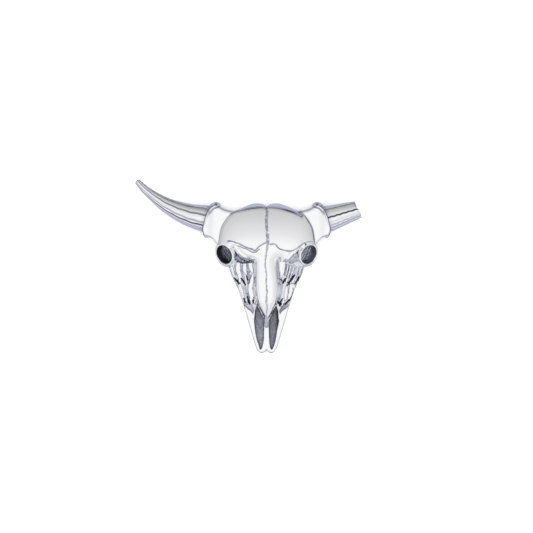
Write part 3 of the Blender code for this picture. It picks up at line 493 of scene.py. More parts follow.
# Cheeks: sunken ground with splinters standing on it and blackened pits between them
cheek = {
    "ground": [(-11.0, 3.5), (-8.5, 4.0), (-3.5, 4.6), (1.0, 5.0), (4.0, 5.2)],
    "fall": 0.1,
    "raise": 0.62,
    "groundStain": {-1: 0.22, 1: 0.16},
    "veil": {-1: 0.0, 1: 0.2},  # grey haze over the upper outer splinters
    "pitDepth": 0.45,
    "edgeTilts": [(0.0, 78), (0.12, 55), (0.3, 20), (0.55, 0)],
    "ridges": {
        -1: [
            [(6.2, 0.4, 0.5), (6.26, -0.88, 0.55), (5.85, -2.2, 0.4), (5.85, -3.4, 0.3)],
            [(4.8, 0.4, 0.42), (4.8, -0.88, 0.4), (4.46, -1.8, 0.2)],
            [(3.6, 0.66, 0.5), (3.4, -0.44, 0.45), (3.12, -1.3, 0.25)],
            [(2.86, -1.54, 0.15), (3.2, -3.1, 0.45), (3.56, -4.8, 0.5), (3.32, -6.35, 0.55), (3.2, -7.3, 0.3)],
            [(5.9, -4.2, 0.35), (5.62, -5.5, 0.5), (5.2, -6.9, 0.3)],
            [(7.7, -0.35, 0.36), (7.35, -1.5, 0.3), (6.6, -3.63, 0.22)],
            [(4.35, -6.2, 0.15), (4.18, -6.8, 0.2)],
            [(4.47, -7.15, 0.2), (4.25, -8.36, 0.18)],
            [(3.5, -7.15, 0.22), (3.28, -8.36, 0.2)],
            [(2.53, -7.26, 0.2), (2.53, -8.36, 0.13)],
        ],
        1: [
            [(3.42, 0.7, 0.84), (3.42, -0.3, 0.74), (3.42, -1.5, 0.45), (3.3, -2.4, 0.14)],
            [(4.69, 0.22, 0.18), (4.49, -1.32, 0.18), (4.03, -2.64, 0.15)],
            [(5.32, 0.0, 0.22), (4.95, -1.54, 0.22), (4.38, -3.52, 0.22)],
            [(6.05, 0.0, 0.22), (5.7, -1.32, 0.22), (5.17, -2.64, 0.18)],
            [(6.82, -0.33, 0.22), (6.49, -1.76, 0.22), (5.74, -3.63, 0.22)],
            [(7.59, -0.33, 0.22), (7.15, -1.76, 0.18), (6.71, -2.86, 0.13)],
            [(8.14, -0.99, 0.2), (7.46, -2.86, 0.22), (6.71, -4.4, 0.2)],
            [(4.45, -4.7, 0.3), (4.34, -5.9, 0.36), (4.15, -7.3, 0.26)],
            [(5.5, -4.29, 0.38), (5.32, -5.72, 0.42), (4.95, -7.04, 0.34)],
            [(5.9, -4.09, 0.24), (6.16, -4.95, 0.26)],
            [(6.49, -4.95, 0.18), (5.74, -6.82, 0.18)],
            [(3.74, -7.48, 0.22), (3.41, -8.8, 0.2)],
        ],
    },
    "pits": {  # the first value is the stain
        -1: [
            (1.0, [(7.11, -2.55, 0.15), (6.6, -3.19, 0.24), (6.01, -3.83, 0.2)]),
            (1.0, [(5.61, -2.68, 0.18), (5.1, -3.3, 0.24), (4.64, -4.14, 0.2)]),
            (0.9, [(4.33, -2.27, 0.18), (4.14, -3.01, 0.2)]),
            (0.5, [(4.16, -1.32, 0.26), (3.81, -2.31, 0.44), (3.98, -3.74, 0.31)]),
            (0.32, [(7.0, 0.33, 0.11), (6.84, -0.88, 0.13), (6.93, -1.98, 0.18)]),
            (0.32, [(5.76, 0.44, 0.15), (5.32, -0.88, 0.18), (5.1, -2.2, 0.2), (4.88, -3.52, 0.2)]),
            (0.35, [(4.4, 0.59, 0.13), (4.2, -0.44, 0.15), (3.76, -1.32, 0.15)]),
            (0.35, [(4.84, -4.4, 0.31), (4.55, -5.5, 0.33), (4.18, -6.82, 0.29)]),
            (0.9, [(4.95, -7.04, 0.13), (4.8, -8.01, 0.18)]),
            (1.0, [(4.16, -6.67, 0.15), (3.98, -7.59, 0.2), (3.67, -8.4, 0.13)]),
            (0.9, [(3.01, -7.44, 0.13), (2.77, -8.21, 0.13)]),
            (1.0, [(2.2, -7.15, 0.15), (2.13, -8.43, 0.18)]),
            (0.5, [(4.88, -8.58, 0.13), (3.63, -9.68, 0.15), (2.84, -11.0, 0.11)]),
            (0.32, [(4.6, -7.9, 0.5), (3.7, -8.9, 0.7), (2.9, -10.3, 0.35)]),
        ],
        1: [
            (1.0, [(4.14, -2.77, 0.2), (3.85, -3.3, 0.24), (3.59, -3.83, 0.18)]),
            (1.0, [(6.14, -2.05, 0.2), (5.52, -2.86, 0.24), (4.86, -3.7, 0.24)]),
            (0.7, [(4.99, -3.92, 0.24), (4.47, -4.22, 0.18)]),
            (0.95, [(7.15, -2.29, 0.15), (6.82, -2.97, 0.2), (6.38, -3.74, 0.22)]),
            (0.3, [(4.38, 0.88, 0.11), (4.29, -0.44, 0.13), (4.07, -2.09, 0.13)]),
            (1.0, [(5.59, -6.67, 0.13), (5.08, -7.44, 0.18), (4.6, -7.81, 0.18), (4.09, -8.45, 0.2)]),
            (1.0, [(2.05, -8.32, 0.22), (2.53, -8.05, 0.29), (3.01, -8.27, 0.31), (2.88, -8.76, 0.22)]),
            (0.9, [(3.06, -7.83, 0.2), (3.48, -7.22, 0.15)]),
            (0.5, [(4.77, -8.76, 0.11), (3.74, -9.68, 0.15), (3.01, -10.67, 0.11)]),
            (0.5, [(4.6, -8.2, 0.4), (3.8, -9.0, 0.55), (3.0, -10.2, 0.3)]),
            (0.6, [(6.69, -4.36, 0.11), (6.45, -5.15, 0.11)]),
        ],
    },
    "hollow": {-1: [(7.4, 3.2, 0.5), (6.6, 2.1, 0.9), (5.6, 1.2, 0.7), (4.4, 0.9, 0.35), (3.4, 0.9, 0.25)],
               1: [(7.4, 3.2, 0.5), (6.8, 2.0, 0.9), (5.8, 1.1, 0.6), (5.1, 0.8, 0.3)]},
    "hollowDepth": {-1: 0.7, 1: 0.3},
    "hollowStain": {-1: 0.55, 1: 0.42},
    "wallFoot": {-1: [(-8.0, 0.0), (1.0, 0.0)], 1: [(-8.2, 0.15), (-7.0, 0.55), (-4.0, 0.6), (-1.0, 0.2), (0.5, 0.0)]},
    "wallSlope": 2.0,  # rise of the strip beside the bar, which carries the bar's wall on down
}


def cheekSurface(points, side):
    outward = side * points[:, 0] - 2.5
    ground = profileAt(cheek["ground"], points[:, 1]) - cheek["fall"] * outward
    moved = shaken(points, 0.05, 0.8, 11)
    lift = np.zeros(len(points))
    for path in cheek["ridges"][side]:
        near = strand(moved, path, side)
        lift = np.maximum(lift, smoothStep(-0.35, 0.25, near))
    tarnishAndShadeAmount = cheek["groundStain"][side] * (1 - smoothStep(0.1, 0.6, lift)) * (0.8 + 0.3 * wave(points, 0.7, 15))
    veil = smoothStep(3.9, 4.5, side * points[:, 0]) * smoothStep(-3.4, -2.4, points[:, 1])
    tarnishAndShadeAmount = np.maximum(tarnishAndShadeAmount, cheek["veil"][side] * veil * (0.9 + 0.5 * wave(points * (1, 0.4), 0.4, 19)))
    height = ground + cheek["raise"] * lift
    for strength, path in cheek["pits"][side]:
        near = smoothStep(0.0, 0.7, strand(moved, path, side))
        height -= cheek["pitDepth"] * near * strength
        tarnishAndShadeAmount = np.maximum(tarnishAndShadeAmount, near * strength)
    beside = profileAt(cheek["wallFoot"][side], points[:, 1]) - distanceTo(lineOf("barEdge", side), points)
    height = np.maximum(height, ground + cheek["raise"] / 2 + cheek["wallSlope"] * beside)
    tarnishAndShadeAmount *= 1 - smoothStep(-0.1, 0.1, beside)
    near = smoothStep(0.0, 0.8, strand(points, cheek["hollow"][side], side))
    height -= cheek["hollowDepth"][side] * near
    tarnishAndShadeAmount = np.maximum(tarnishAndShadeAmount * (1 - near), cheek["hollowStain"][side] * near * (1 + 0.4 * wave(points, 0.45, 17)))
    height -= 1.5 * (1 - smoothStep(1.5, 2.2, np.hypot(side * points[:, 0] - eye["centre"][0],
                                                       points[:, 1] - eye["centre"][1])))
    height -= rollOver(distanceTo(lineOf("cheekEdge", side), points), cheek["edgeTilts"])
    return height, tarnishAndShadeAmount


# Muzzle: smooth bars round two sunken slots
muzzle = {
    "profile": [(-19.3, 2.6), (-14.0, 3.7), (-8.5, 4.8)],
    "edgeTilts": [(0.0, 82), (0.08, 50), (0.17, 20), (0.3, 5), (0.5, 0)],
    "edgeStain": 0.5,
    "slotDepth": 1.9,
    "slotStain": {-1: 0.58, 1: 0.66},
    "slotShade": 0.03,  # painted shade gained for each mm up the slot, so each slot darkens toward its top
    "slotBank": {-1: 0.15, 1: 0.6},  # stain along the slot's upper outer wall
    "slotMiddle": -14.0,
    "patch": [(0.0, -11.2, 0.35), (0.02, -12.2, 0.5), (0.0, -13.2, 0.46)],
    "patchDepth": 0.6,
    "lips": {-1: [(2.2, -8.4, 0.12), (1.65, -9.24, 0.15), (1.0, -10.45, 0.14), (0.6, -11.3, 0.1)],
             1: [(2.25, -8.45, 0.12), (1.87, -9.4, 0.15), (1.1, -10.56, 0.14), (0.77, -11.2, 0.1)]},
    "lipRaise": 0.5,
}


def muzzleSurface(points):
    height = profileAt(muzzle["profile"], points[:, 1])
    tarnishAndShadeAmount = np.zeros(len(points))
    for side in (-1, 1):
        away = distanceTo(lineOf("muzzleEdge", side), points)
        height -= rollOver(away, muzzle["edgeTilts"])
        tarnishAndShadeAmount = np.maximum(tarnishAndShadeAmount, muzzle["edgeStain"] * np.clip(1 - away / 0.18, 0, 1))
    patch = smoothStep(0.0, 0.35, strand(points, muzzle["patch"]))
    height -= patch * (muzzle["patchDepth"] + 0.12 * wave(points, 0.5, 43))
    tarnishAndShadeAmount = np.maximum(tarnishAndShadeAmount, patch * (0.28 + 0.2 * wave(points, 0.35, 44)))
    for side in (-1, 1):
        outline = lineOf("slot", side, 0.12)
        outline = np.vstack([outline, outline[:1]])
        depth = distanceTo(outline, points) * np.where(inside(outline, points), 1, -1)
        sunk = smoothStep(-0.03, 0.1, depth)
        floor = muzzle["slotDepth"] + 0.05 * wave(points, 0.5, 40) + 0.04 * wave(points, 0.28, 41)
        height = height - sunk * floor
        edge = np.exp(-np.maximum(depth, 0) / 0.18)
        # painted shade: darker for each mm toward the slot's top
        level = muzzle["slotStain"][side] + muzzle["slotShade"] * (points[:, 1] - muzzle["slotMiddle"])
        bank = smoothStep(1.9, 2.3, side * points[:, 0]) * smoothStep(-14.4, -12.6, points[:, 1])
        level = level + muzzle["slotBank"][side] * bank * edge
        tarnishAndShadeAmount = np.maximum(tarnishAndShadeAmount, sunk * (level + 0.25 * edge + 0.05 * wave(points * (3, 1), 0.6, 45)))
        lip = smoothStep(0.0, 0.6, strand(points, muzzle["lips"][side], side))
        height = height + lip * muzzle["lipRaise"]
        tarnishAndShadeAmount = tarnishAndShadeAmount * (1 - lip)
    return height, tarnishAndShadeAmount


# Horn bosses
boss = {
    "height": 7.25,
    "lean": 0.04,
    "crown": 0.01,
    "middle": 9.4,
    "flare": 0.35,
    "topTilts": [(0.0, 80), (0.15, 60), (0.35, 35), (0.6, 10), (1.0, 0)],
    "lowTilts": [(0.0, 80), (0.12, 55), (0.26, 25), (0.45, 6), (0.7, 0)],
    "creaseStain": {-1: 0.0, 1: 0.7},
    "collarLine": 0.95,  # stain of the line beside the collar
}


def bossSurface(points, side):
    outward = side * points[:, 0]
    height = boss["height"] + boss["lean"] * (points[:, 1] - 9) - boss["crown"] * (points[:, 1] - boss["middle"]) ** 2
    height += boss["flare"] * smoothStep(11.0, 13.6, outward)
    height -= rollOver(distanceTo(lineOf("bossTopEdge", side), points), boss["topTilts"])
    height -= rollOver(distanceTo(lineOf("bossLowEdge", side), points), boss["lowTilts"])
    beside = distanceTo(lineOf("collarEdge", side), points)
    upper = smoothStep(10.8, 12.2, points[:, 1])
    tarnishAndShadeAmount = boss["collarLine"] * upper * np.clip(1 - np.abs(beside - 0.45) / 0.17, 0, 1)
    height -= 0.1 * upper * np.clip(1 - np.abs(beside - 0.45) / 0.25, 0, 1)
    away = distanceTo(lineOf("crease", side), points)
    return height, np.maximum(tarnishAndShadeAmount, boss["creaseStain"][side] * np.clip(1 - away / 0.25, 0, 1))


def tubePiece(name, rings, layers):
    sides = len(rings[0])
    places = [point for ring in rings for point in ring]
    faces = []
    for row in range(len(rings) - 1):
        for side in range(sides):
            after = (side + 1) % sides
            low = row * sides
            high = low + sides
            faces.append((low + side, low + after, high + after, high + side))
    for row in (0, len(rings) - 1):
        centre = len(places)
        places.append(tuple(np.mean(np.array(rings[row], dtype=float), axis=0)))
        faces += [(centre, row * sides + side, row * sides + (side + 1) % sides) for side in range(sides)]
    full = {key: np.concatenate([np.asarray(values), np.asarray(values)[:1], np.asarray(values)[-1:]])
            for key, values in layers.items()}
    return addMesh(name, places, faces, full)


# Collar lips
collar = {
    "radii": [(0.0, 0.62), (0.05, 0.88), (0.13, 0.76), (0.22, 0.5), (0.32, 0.34), (0.6, 0.28), (0.85, 0.3),
              (0.94, 0.46), (1.0, 0.42)],
    "knobShade": (11.1, 13.5, 0.45),  # the middle and radius of a dark spot painted on the knob as its shade
    "line": 0.7,  # dark line painted on the lip's side toward the horn, a painted reflection of the dark band
    "height": 7.75,
    "steps": 180,
    "sides": 32,
}


def collarPiece(side, word):
    # the rolled lip stands up from the back, goes over the boss and down again
    plan = lineOf("collarEdge", side)
    travel = np.concatenate([[0], np.cumsum(np.hypot(*np.diff(plan, axis=0).T))])
    path = []
    for step in range(collar["steps"] + 1):
        turn = math.pi * step / collar["steps"]
        place = travel[-1] * (1 - math.cos(turn)) / 2
        x = np.interp(place, travel, plan[:, 0])
        y = np.interp(place, travel, plan[:, 1])
        path.append(Vector((x, y, floorHeight + collar["height"] * math.sin(turn) ** 0.8)))
    outward = Vector((side, 0, 0))
    rings = []
    for here, point in enumerate(path):
        run = path[min(here + 1, len(path) - 1)] - path[max(here - 1, 0)]
        if here in (0, len(path) - 1):
            run = Vector((0, 0, run.z))
        run.normalize()
        wide = (outward - run * outward.dot(run)).normalized()
        high = run.cross(wide)
        turn = math.pi * here / collar["steps"]
        radius = float(profileAt(collar["radii"], (1 - math.cos(turn)) / 2))
        ring = []
        for corner in range(collar["sides"]):
            angle = 2 * math.pi * corner / collar["sides"]
            ring.append(tuple(point + radius * (math.cos(angle) * wide + math.sin(angle) * high)))
        rings.append(ring)
    places = np.array([point for ring in rings for point in ring])
    # painted shade: a dark spot on the top of the knob
    x, y, radius = collar["knobShade"]
    knobShade = np.clip(1 - (np.hypot(side * places[:, 0] - x, places[:, 1] - y) / radius) ** 2, 0, 1)
    mottled = 0.3 * smoothStep(12.4, 13.2, places[:, 1]) * np.clip(wave(places[:, :2], 0.5, 60), 0, 1)
    # painted reflection: the lip darkens on its outward half, toward the horn
    beside = np.cos(2 * math.pi * np.arange(collar["sides"]) / collar["sides"])
    line = collar["line"] * np.tile(smoothStep(0.1, 0.6, beside), len(rings))
    return tubePiece(f"collarLip.{word}", rings, {"tarnishAndShadeAmount": np.maximum(np.maximum(0.85 * knobShade, mottled), line)})


# Eye sockets
eye = {
    "centre": (9.24, 2.53, 6.4),
    "lean": 42.0,  # degrees that the opening leans outward
    "leanWay": 28.5,  # degrees below the line of the horns
    "inner": 2.1,
    "rim": 0.22,
    "flare": 0.06,
    "flank": 0.5,
    "foot": (8.5, 2.3, 2.5),  # the middle and the radius of the foot on the back
    "rows": 12,
    "depth": 1.6,
    "sides": 150,
    "wallStain": {-1: 0.93, 1: 0.76},
    "floorStain": {-1: 0.78, 1: 0.54},
    "streak": {-1: 0.14, 1: 0.2},
}


def eyeRing(side, radius, along, upright=0.0):
    # a ring that leans with the opening where upright is 0, and lies level round the foot where it is 1
    lean = math.radians(eye["lean"])
    turn = math.radians(eye["leanWay"])
    up = np.array([0.0, 0.0, 1.0])
    way = np.array([side * math.cos(turn), -math.sin(turn), 0.0])
    across = np.cross(up, way)
    out = way * math.cos(lean) - up * math.sin(lean)
    axis = way * math.sin(lean) + up * math.cos(lean)
    angles = side * 2 * math.pi * (np.arange(eye["sides"]) + 0.5) / eye["sides"]
    x = np.cos(angles)[:, None]
    y = np.sin(angles)[:, None]
    rise = np.reshape(along * np.ones(eye["sides"]), (-1, 1))
    leaning = np.array([side * eye["centre"][0], *eye["centre"][1:]]) + axis * rise + radius * (x * out + y * across)
    foot = np.array([side * eye["foot"][0], eye["foot"][1], floorHeight])
    level = foot + (radius - eye["inner"] + eye["foot"][2]) * (x * way + y * across)
    return leaning * (1 - upright) + level * upright


def eyePiece(side, word):
    inner, rim, depth = eye["inner"], eye["rim"], eye["depth"]
    angles = side * 2 * math.pi * (np.arange(eye["sides"]) + 0.5) / eye["sides"]
    flank = inner + 2 * rim + eye["flare"]
    bevel = relief["backBevel"]
    rings = [eyeRing(side, inner - bevel, 0, 1.0), eyeRing(side, inner, 0, 1.0) + np.array([0, 0, bevel])]
    for share in np.linspace(0, 1, eye["rows"])[1:]:
        rings.append(eyeRing(side, inner + (flank - inner) * share, -eye["flank"], 1 - share))
    tarnishAndShadeAmount = [np.zeros(eye["sides"])] * len(rings)
    for step in range(15):
        angle = math.pi * step / 14
        rings.append(eyeRing(side, inner + rim + rim * math.cos(angle), rim * math.sin(angle)))
        tarnishAndShadeAmount.append(np.full(eye["sides"], 0.5 if step == 14 else 0.0))
    for share in np.linspace(0, 1, 12)[1:]:
        rings.append(eyeRing(side, inner - 0.1 * share, -depth * share))
        tarnishAndShadeAmount.append(np.full(eye["sides"], eye["wallStain"][side]))
    for share in np.linspace(0.93, 0.03, 24):
        spots = inner * share * np.stack([np.cos(angles), np.sin(angles)], axis=1)
        grain = 0.07 * wave(spots, 0.7, 50) + 0.04 * wave(spots, 0.35, 51)
        rings.append(eyeRing(side, inner * share, -depth - 0.12 * (1 - share) + grain))
        streaks = wave(spots * (1.0, 0.22), 0.42, 53) + 0.5 * wave(spots, 0.5, 54)
        tarnishAndShadeAmount.append(np.clip(eye["floorStain"][side] - eye["streak"][side] * streaks, 0, 1))
    return tubePiece(f"eyeSocket.{word}", rings, {"tarnishAndShadeAmount": np.concatenate(tarnishAndShadeAmount)})


# Horns: middle points with the radius at each; a flute is its angle at the foot and at the tip,
# its depth, its half width and its stain
horns = {
    "height": 4.0,
    "step": 0.11,
    "sides": 260,
    "path": {
        -1: [(11.9, 10.15, 2.95), (13.2, 10.36, 2.98), (15.4, 10.8, 2.75), (17.7, 11.45, 2.4), (20.0, 12.37, 2.02), (22.3, 13.54, 1.62),
             (24.4, 14.96, 1.24), (26.4, 16.52, 0.94), (27.5, 17.6, 0.8), (28.35, 18.55, 0.66)],
        1: [(11.9, 10.1, 2.9), (13.2, 10.3, 2.9), (15.0, 10.8, 2.7), (17.0, 11.45, 2.42), (20.0, 12.4, 2.02)],
    },
    "flutes": {
        -1: [(-2.5, -2.5, 0.08, 0.12, 0.6), (-1.75, -1.75, 0.08, 0.12, 0.6), (-0.88, -1.2, 0.07, 0.09, 0.75),
             (-0.32, -0.27, 0.08, 0.1, 0.65), (0.31, 0.4, 0.05, 0.08, 0.5), (0.56, 0.8, 0.09, 0.09, 1.0),
             (1.65, 1.65, 0.08, 0.12, 0.6), (2.4, 2.4, 0.08, 0.12, 0.6)],
        1: [(-2.5, -2.5, 0.08, 0.12, 0.6), (-1.75, -1.75, 0.08, 0.12, 0.6), (-0.92, -0.94, 0.07, 0.08, 0.7),
            (-0.1, -0.07, 0.11, 0.065, 0.95), (0.62, 0.62, 0.03, 0.1, 0.3), (0.9, 0.85, 0.03, 0.1, 0.35),
            (1.65, 1.65, 0.08, 0.12, 0.6), (2.4, 2.4, 0.08, 0.12, 0.6)],
    },
    "squareness": (0.7, 1.1),  # of the side toward the crown and the other; below 1 is flatter than a circle
    "slant": 0.2,
    "jags": [(3, 0.2, 0.4), (7, 0.12, 1.9), (13, 0.05, 0.3)],
    # painted shade on the horn's foot, where the collar overhangs it
    "footShade": 0.35,
}


def flutesAt(angles, along, side):
    depth = np.zeros(len(angles))
    mark = np.zeros(len(angles))
    for foot, tip, share, width, tarnishAndShadeAmount in horns["flutes"][side]:
        middle = foot + (tip - foot) * along + 0.02 * math.sin(40 * along + foot * 9)
        away = np.abs((angles - middle + math.pi) % (2 * math.pi) - math.pi)
        near = np.clip(1 - (away / (width * (1 + 0.5 * along))) ** 2, 0, 1)
        depth = np.maximum(depth, share * near ** 1.3)
        mark = np.maximum(mark, tarnishAndShadeAmount * near)
    return depth, mark


def hornPiece(side, word, broken):
    line = smoothLine([(side * x, y, radius) for x, y, radius in horns["path"][side]], horns["step"])
    runs = np.gradient(line[:, :2], axis=0)
    angles = np.linspace(0, 2 * math.pi, horns["sides"], endpoint=False)
    last = len(line) - 1
    stations = [(here, 0.0) for here in range(len(line))]
    if not broken:
        stations += [(last, math.pi / 2 * step / 9) for step in range(1, 9)]
    rings = []
    tarnishAndShadeAmount = []
    grain = []
    for here, turn in stations:
        x, y, radius = line[here]
        run = runs[here] / np.hypot(*runs[here])
        across = np.array([side * run[1], -side * run[0]])
        depth, mark = flutesAt(angles, here / last, side)
        reach = radius * (1 - depth) * math.cos(turn)
        forward = 0.34 * math.sin(turn) * np.ones(len(angles))
        if broken:
            jag = horns["slant"] * reach * np.sin(angles)
            for waves, size, shift in horns["jags"]:
                jag += size * np.sin(waves * angles + shift)
            forward = jag * float(smoothStep(0.6, 1.0, here / last))
        spots = np.array([x, y]) + run * forward[:, None] + across * (reach * np.sin(angles))[:, None]
        power = np.where(np.sin(angles) < 0, *horns["squareness"])
        rise = reach * np.sign(np.cos(angles)) * np.abs(np.cos(angles)) ** power
        rings.append([(spot[0], spot[1], horns["height"] + up) for spot, up in zip(spots, rise)])
        # painted shade: full near the collar, gone about 2.5 mm along the horn
        foot = horns["footShade"] * float(np.clip(2.1 - here * horns["step"] / 1.2, 0, 1))
        tarnishAndShadeAmount.extend(np.maximum(mark, foot))
        around = (angles + math.pi) % (2 * math.pi) - math.pi
        grain.extend(np.stack([np.full(len(angles), here * horns["step"]), np.sin(around) * radius,
                               np.cos(around) * radius], axis=1))
    return tubePiece(f"horn.{word}", rings, {"tarnishAndShadeAmount": tarnishAndShadeAmount, "grain": grain})


# Finishes
finishes = {
    "polishedFace": {"colour": (0.94, 0.945, 0.955), "polish": 0.05, "scratch": 0.01, "grain": 0.25},
    "polishedNose": {"colour": (0.94, 0.945, 0.955), "polish": 0.07, "scratch": 0.03, "grain": 0.3},
    "polishedMuzzle": {"colour": (0.94, 0.945, 0.955), "polish": 0.08, "scratch": 0.02, "grain": 0.45},
    "carvedCheeks": {"colour": (0.92, 0.925, 0.945), "polish": 0.14, "scratch": 0.08, "grain": 0.55},
    "polishedBosses": {"colour": (0.94, 0.945, 0.955), "polish": 0.06, "scratch": 0.01, "grain": 0.25},
    "eyeSockets": {"colour": (0.94, 0.945, 0.955), "polish": 0.08, "scratch": 0.02, "grain": 0.6},
    "flutedHorns": {"colour": (0.93, 0.935, 0.95), "polish": 0.1, "scratch": 0.12, "grain": 0.4},
}
# colours of the darkened places: real tarnish in the grooves, and also painted shadow under the brows, painted shade
# at the horns' feet and on the collar knobs, and painted reflection lines on the crown's edge and the collar lips
tarnishAndShade = {
    "colour": (0.035, 0.038, 0.055),
    "haze": (0.57, 0.59, 0.67),  # thin tarnish, and the middle tone of the lighter painted shade and reflection lines
    "hazeAt": 0.35,
    "roughness": 0.5,
    "grainScale": 5200,
}


def newGroup(name, inputs, outputs):
    group = bpy.data.node_groups.new(name, "ShaderNodeTree")
    for label, kind, value in inputs:
        socket = group.interface.new_socket(label, in_out="INPUT", socket_type=kind)
        if value is not None:
            socket.default_value = value
    for label, kind in outputs:
        group.interface.new_socket(label, in_out="OUTPUT", socket_type=kind)
    return group, group.nodes.new("NodeGroupInput"), group.nodes.new("NodeGroupOutput")


def tarnishAndShadeGroup():
    # turns the layer of tarnish and painted shade into a grainy mask
    group, source, result = newGroup(
        "tarnishAndShadeMask",
        [("Tarnish and shade", "NodeSocketFloat", 0.0), ("Place", "NodeSocketVector", None), ("Grain", "NodeSocketFloat", 0.3),
         ("Scale", "NodeSocketFloat", 3000.0)],
        [("Mask", "NodeSocketFloat")])
    nodes, link = group.nodes, group.links.new
    noise = nodes.new("ShaderNodeTexNoise")
    noise.inputs["Detail"].default_value = 5
    noise.inputs["Roughness"].default_value = 0.65
    link(source.outputs["Place"], noise.inputs["Vector"])
    link(source.outputs["Scale"], noise.inputs["Scale"])
    centred = nodes.new("ShaderNodeMath")
    centred.operation = "SUBTRACT"
    centred.inputs[1].default_value = 0.5
    link(noise.outputs["Fac"], centred.inputs[0])
    bumpy = nodes.new("ShaderNodeMath")
    bumpy.operation = "MULTIPLY"
    link(centred.outputs[0], bumpy.inputs[0])
    link(source.outputs["Grain"], bumpy.inputs[1])
    held = nodes.new("ShaderNodeMath")
    held.operation = "MULTIPLY_ADD"  # grain shows only where the layer darkens
    link(bumpy.outputs[0], held.inputs[0])
    root = nodes.new("ShaderNodeMath")
    root.operation = "POWER"
    root.inputs[1].default_value = 0.5
    link(source.outputs["Tarnish and shade"], root.inputs[0])
    link(root.outputs[0], held.inputs[1])
    link(source.outputs["Tarnish and shade"], held.inputs[2])
    clamp = nodes.new("ShaderNodeClamp")
    link(held.outputs[0], clamp.inputs["Value"])
    link(clamp.outputs[0], result.inputs["Mask"])
    return group


def scratchGroup():
    # fine polishing scratches, drawn out along one way
    group, source, result = newGroup(
        "fineScratches",
        [("Place", "NodeSocketVector", None), ("Scale", "NodeSocketFloat", 1000.0)],
        [("Height", "NodeSocketFloat")])
    nodes, link = group.nodes, group.links.new
    stretch = nodes.new("ShaderNodeMapping")
    stretch.inputs["Scale"].default_value = (0.06, 1.0, 1.0)
    link(source.outputs["Place"], stretch.inputs["Vector"])
    noise = nodes.new("ShaderNodeTexNoise")
    noise.inputs["Detail"].default_value = 3
    link(stretch.outputs["Vector"], noise.inputs["Vector"])
    link(source.outputs["Scale"], noise.inputs["Scale"])
    link(noise.outputs["Fac"], result.inputs["Height"])
    return group


def silverMaterial(name, groups, ownGrain=False):
    look = finishes[name]
    material = bpy.data.materials.new(name)
    material.use_nodes = True
    nodes, link = material.node_tree.nodes, material.node_tree.links.new
    shader = nodes["Principled BSDF"]
    shader.inputs["Metallic"].default_value = 1.0
    layer = nodes.new("ShaderNodeAttribute")
    layer.attribute_name = "tarnishAndShadeAmount"
    spot = nodes.new("ShaderNodeTexCoord")
    mask = nodes.new("ShaderNodeGroup")
    mask.node_tree = groups["tarnishAndShade"]
    mask.inputs["Grain"].default_value = look["grain"]
    mask.inputs["Scale"].default_value = tarnishAndShade["grainScale"]
    link(layer.outputs["Fac"], mask.inputs["Tarnish and shade"])
    link(spot.outputs["Object"], mask.inputs["Place"])
    tint = nodes.new("ShaderNodeValToRGB")
    stops = tint.color_ramp.elements
    stops[0].color = (*look["colour"], 1)
    stops[1].color = (*tarnishAndShade["colour"], 1)
    stops.new(tarnishAndShade["hazeAt"]).color = (*tarnishAndShade["haze"], 1)
    link(mask.outputs["Mask"], tint.inputs["Fac"])
    link(tint.outputs["Color"], shader.inputs["Base Color"])
    rough = nodes.new("ShaderNodeMapRange")
    rough.inputs["To Min"].default_value = look["polish"]
    rough.inputs["To Max"].default_value = tarnishAndShade["roughness"]
    link(mask.outputs["Mask"], rough.inputs["Value"])
    link(rough.outputs["Result"], shader.inputs["Roughness"])
    scratches = nodes.new("ShaderNodeGroup")
    scratches.node_tree = groups["scratches"]
    if ownGrain:
        along = nodes.new("ShaderNodeAttribute")
        along.attribute_name = "grain"
        link(along.outputs["Vector"], scratches.inputs["Place"])
        scratches.inputs["Scale"].default_value = 5.0
    else:
        link(spot.outputs["Object"], scratches.inputs["Place"])
        scratches.inputs["Scale"].default_value = 5000.0
    bump = nodes.new("ShaderNodeBump")
    bump.inputs["Strength"].default_value = look["scratch"]
    bump.inputs["Distance"].default_value = 0.0001
    link(scratches.outputs["Height"], bump.inputs["Height"])
    link(bump.outputs["Normal"], shader.inputs["Normal"])
    return material


def place(piece, slot, material, *nodes):
    piece.data.materials.append(material)
    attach(piece, "root")
    if nodes:
        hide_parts(*nodes)
    return piece


def makeFace(looks):
    print("forehead, nose and muzzle")
    foreheadHalf = {}
    noseHalf = {}
    muzzleHalf = {}
    for side in (1, -1):
        seamLine = border("seam", side)
        start = sideLines["seam"][side][browStart[side]]
        upper = int(np.argmin(np.hypot(seamLine[0][:, 0] - side * start[0], seamLine[0][:, 1] - start[1])))
        foreheadHalf[side] = [border("crownEdge", side), backwards(border("crease", side)),
                              border("browEnd", side, relief["eyeOverlap"]), seamLine]
        noseHalf[side] = [backwards((seamLine[0][upper:], 0.0)), border("browTip", side, relief["eyeOverlap"]),
                          border("browEdge", side), border("barEdge", side), border("nasalTaper", side),
                          border("nasalNotch", side)]
        hidden = [backwards(border(name, side, relief["overlap"])) for name in ("nasalNotch", "nasalTaper", "slotLip")]
        muzzleHalf[side] = hidden + [backwards(border("lipSeam", side)), border("muzzleEdge", side)]
    place(reliefPiece("forehead.domes", bothSides(foreheadHalf), foreheadSurface),
          "polished_face", looks["polishedFace"], "forehead")
    place(reliefPiece("nose.bar", bothSides(noseHalf), noseSurface), "polished_nose", looks["polishedNose"],
          "nose_bridge")
    place(reliefPiece("muzzle.jaw", bothSides(muzzleHalf), muzzleSurface, 0.08), "polished_muzzle",
          looks["polishedMuzzle"], "muzzle")


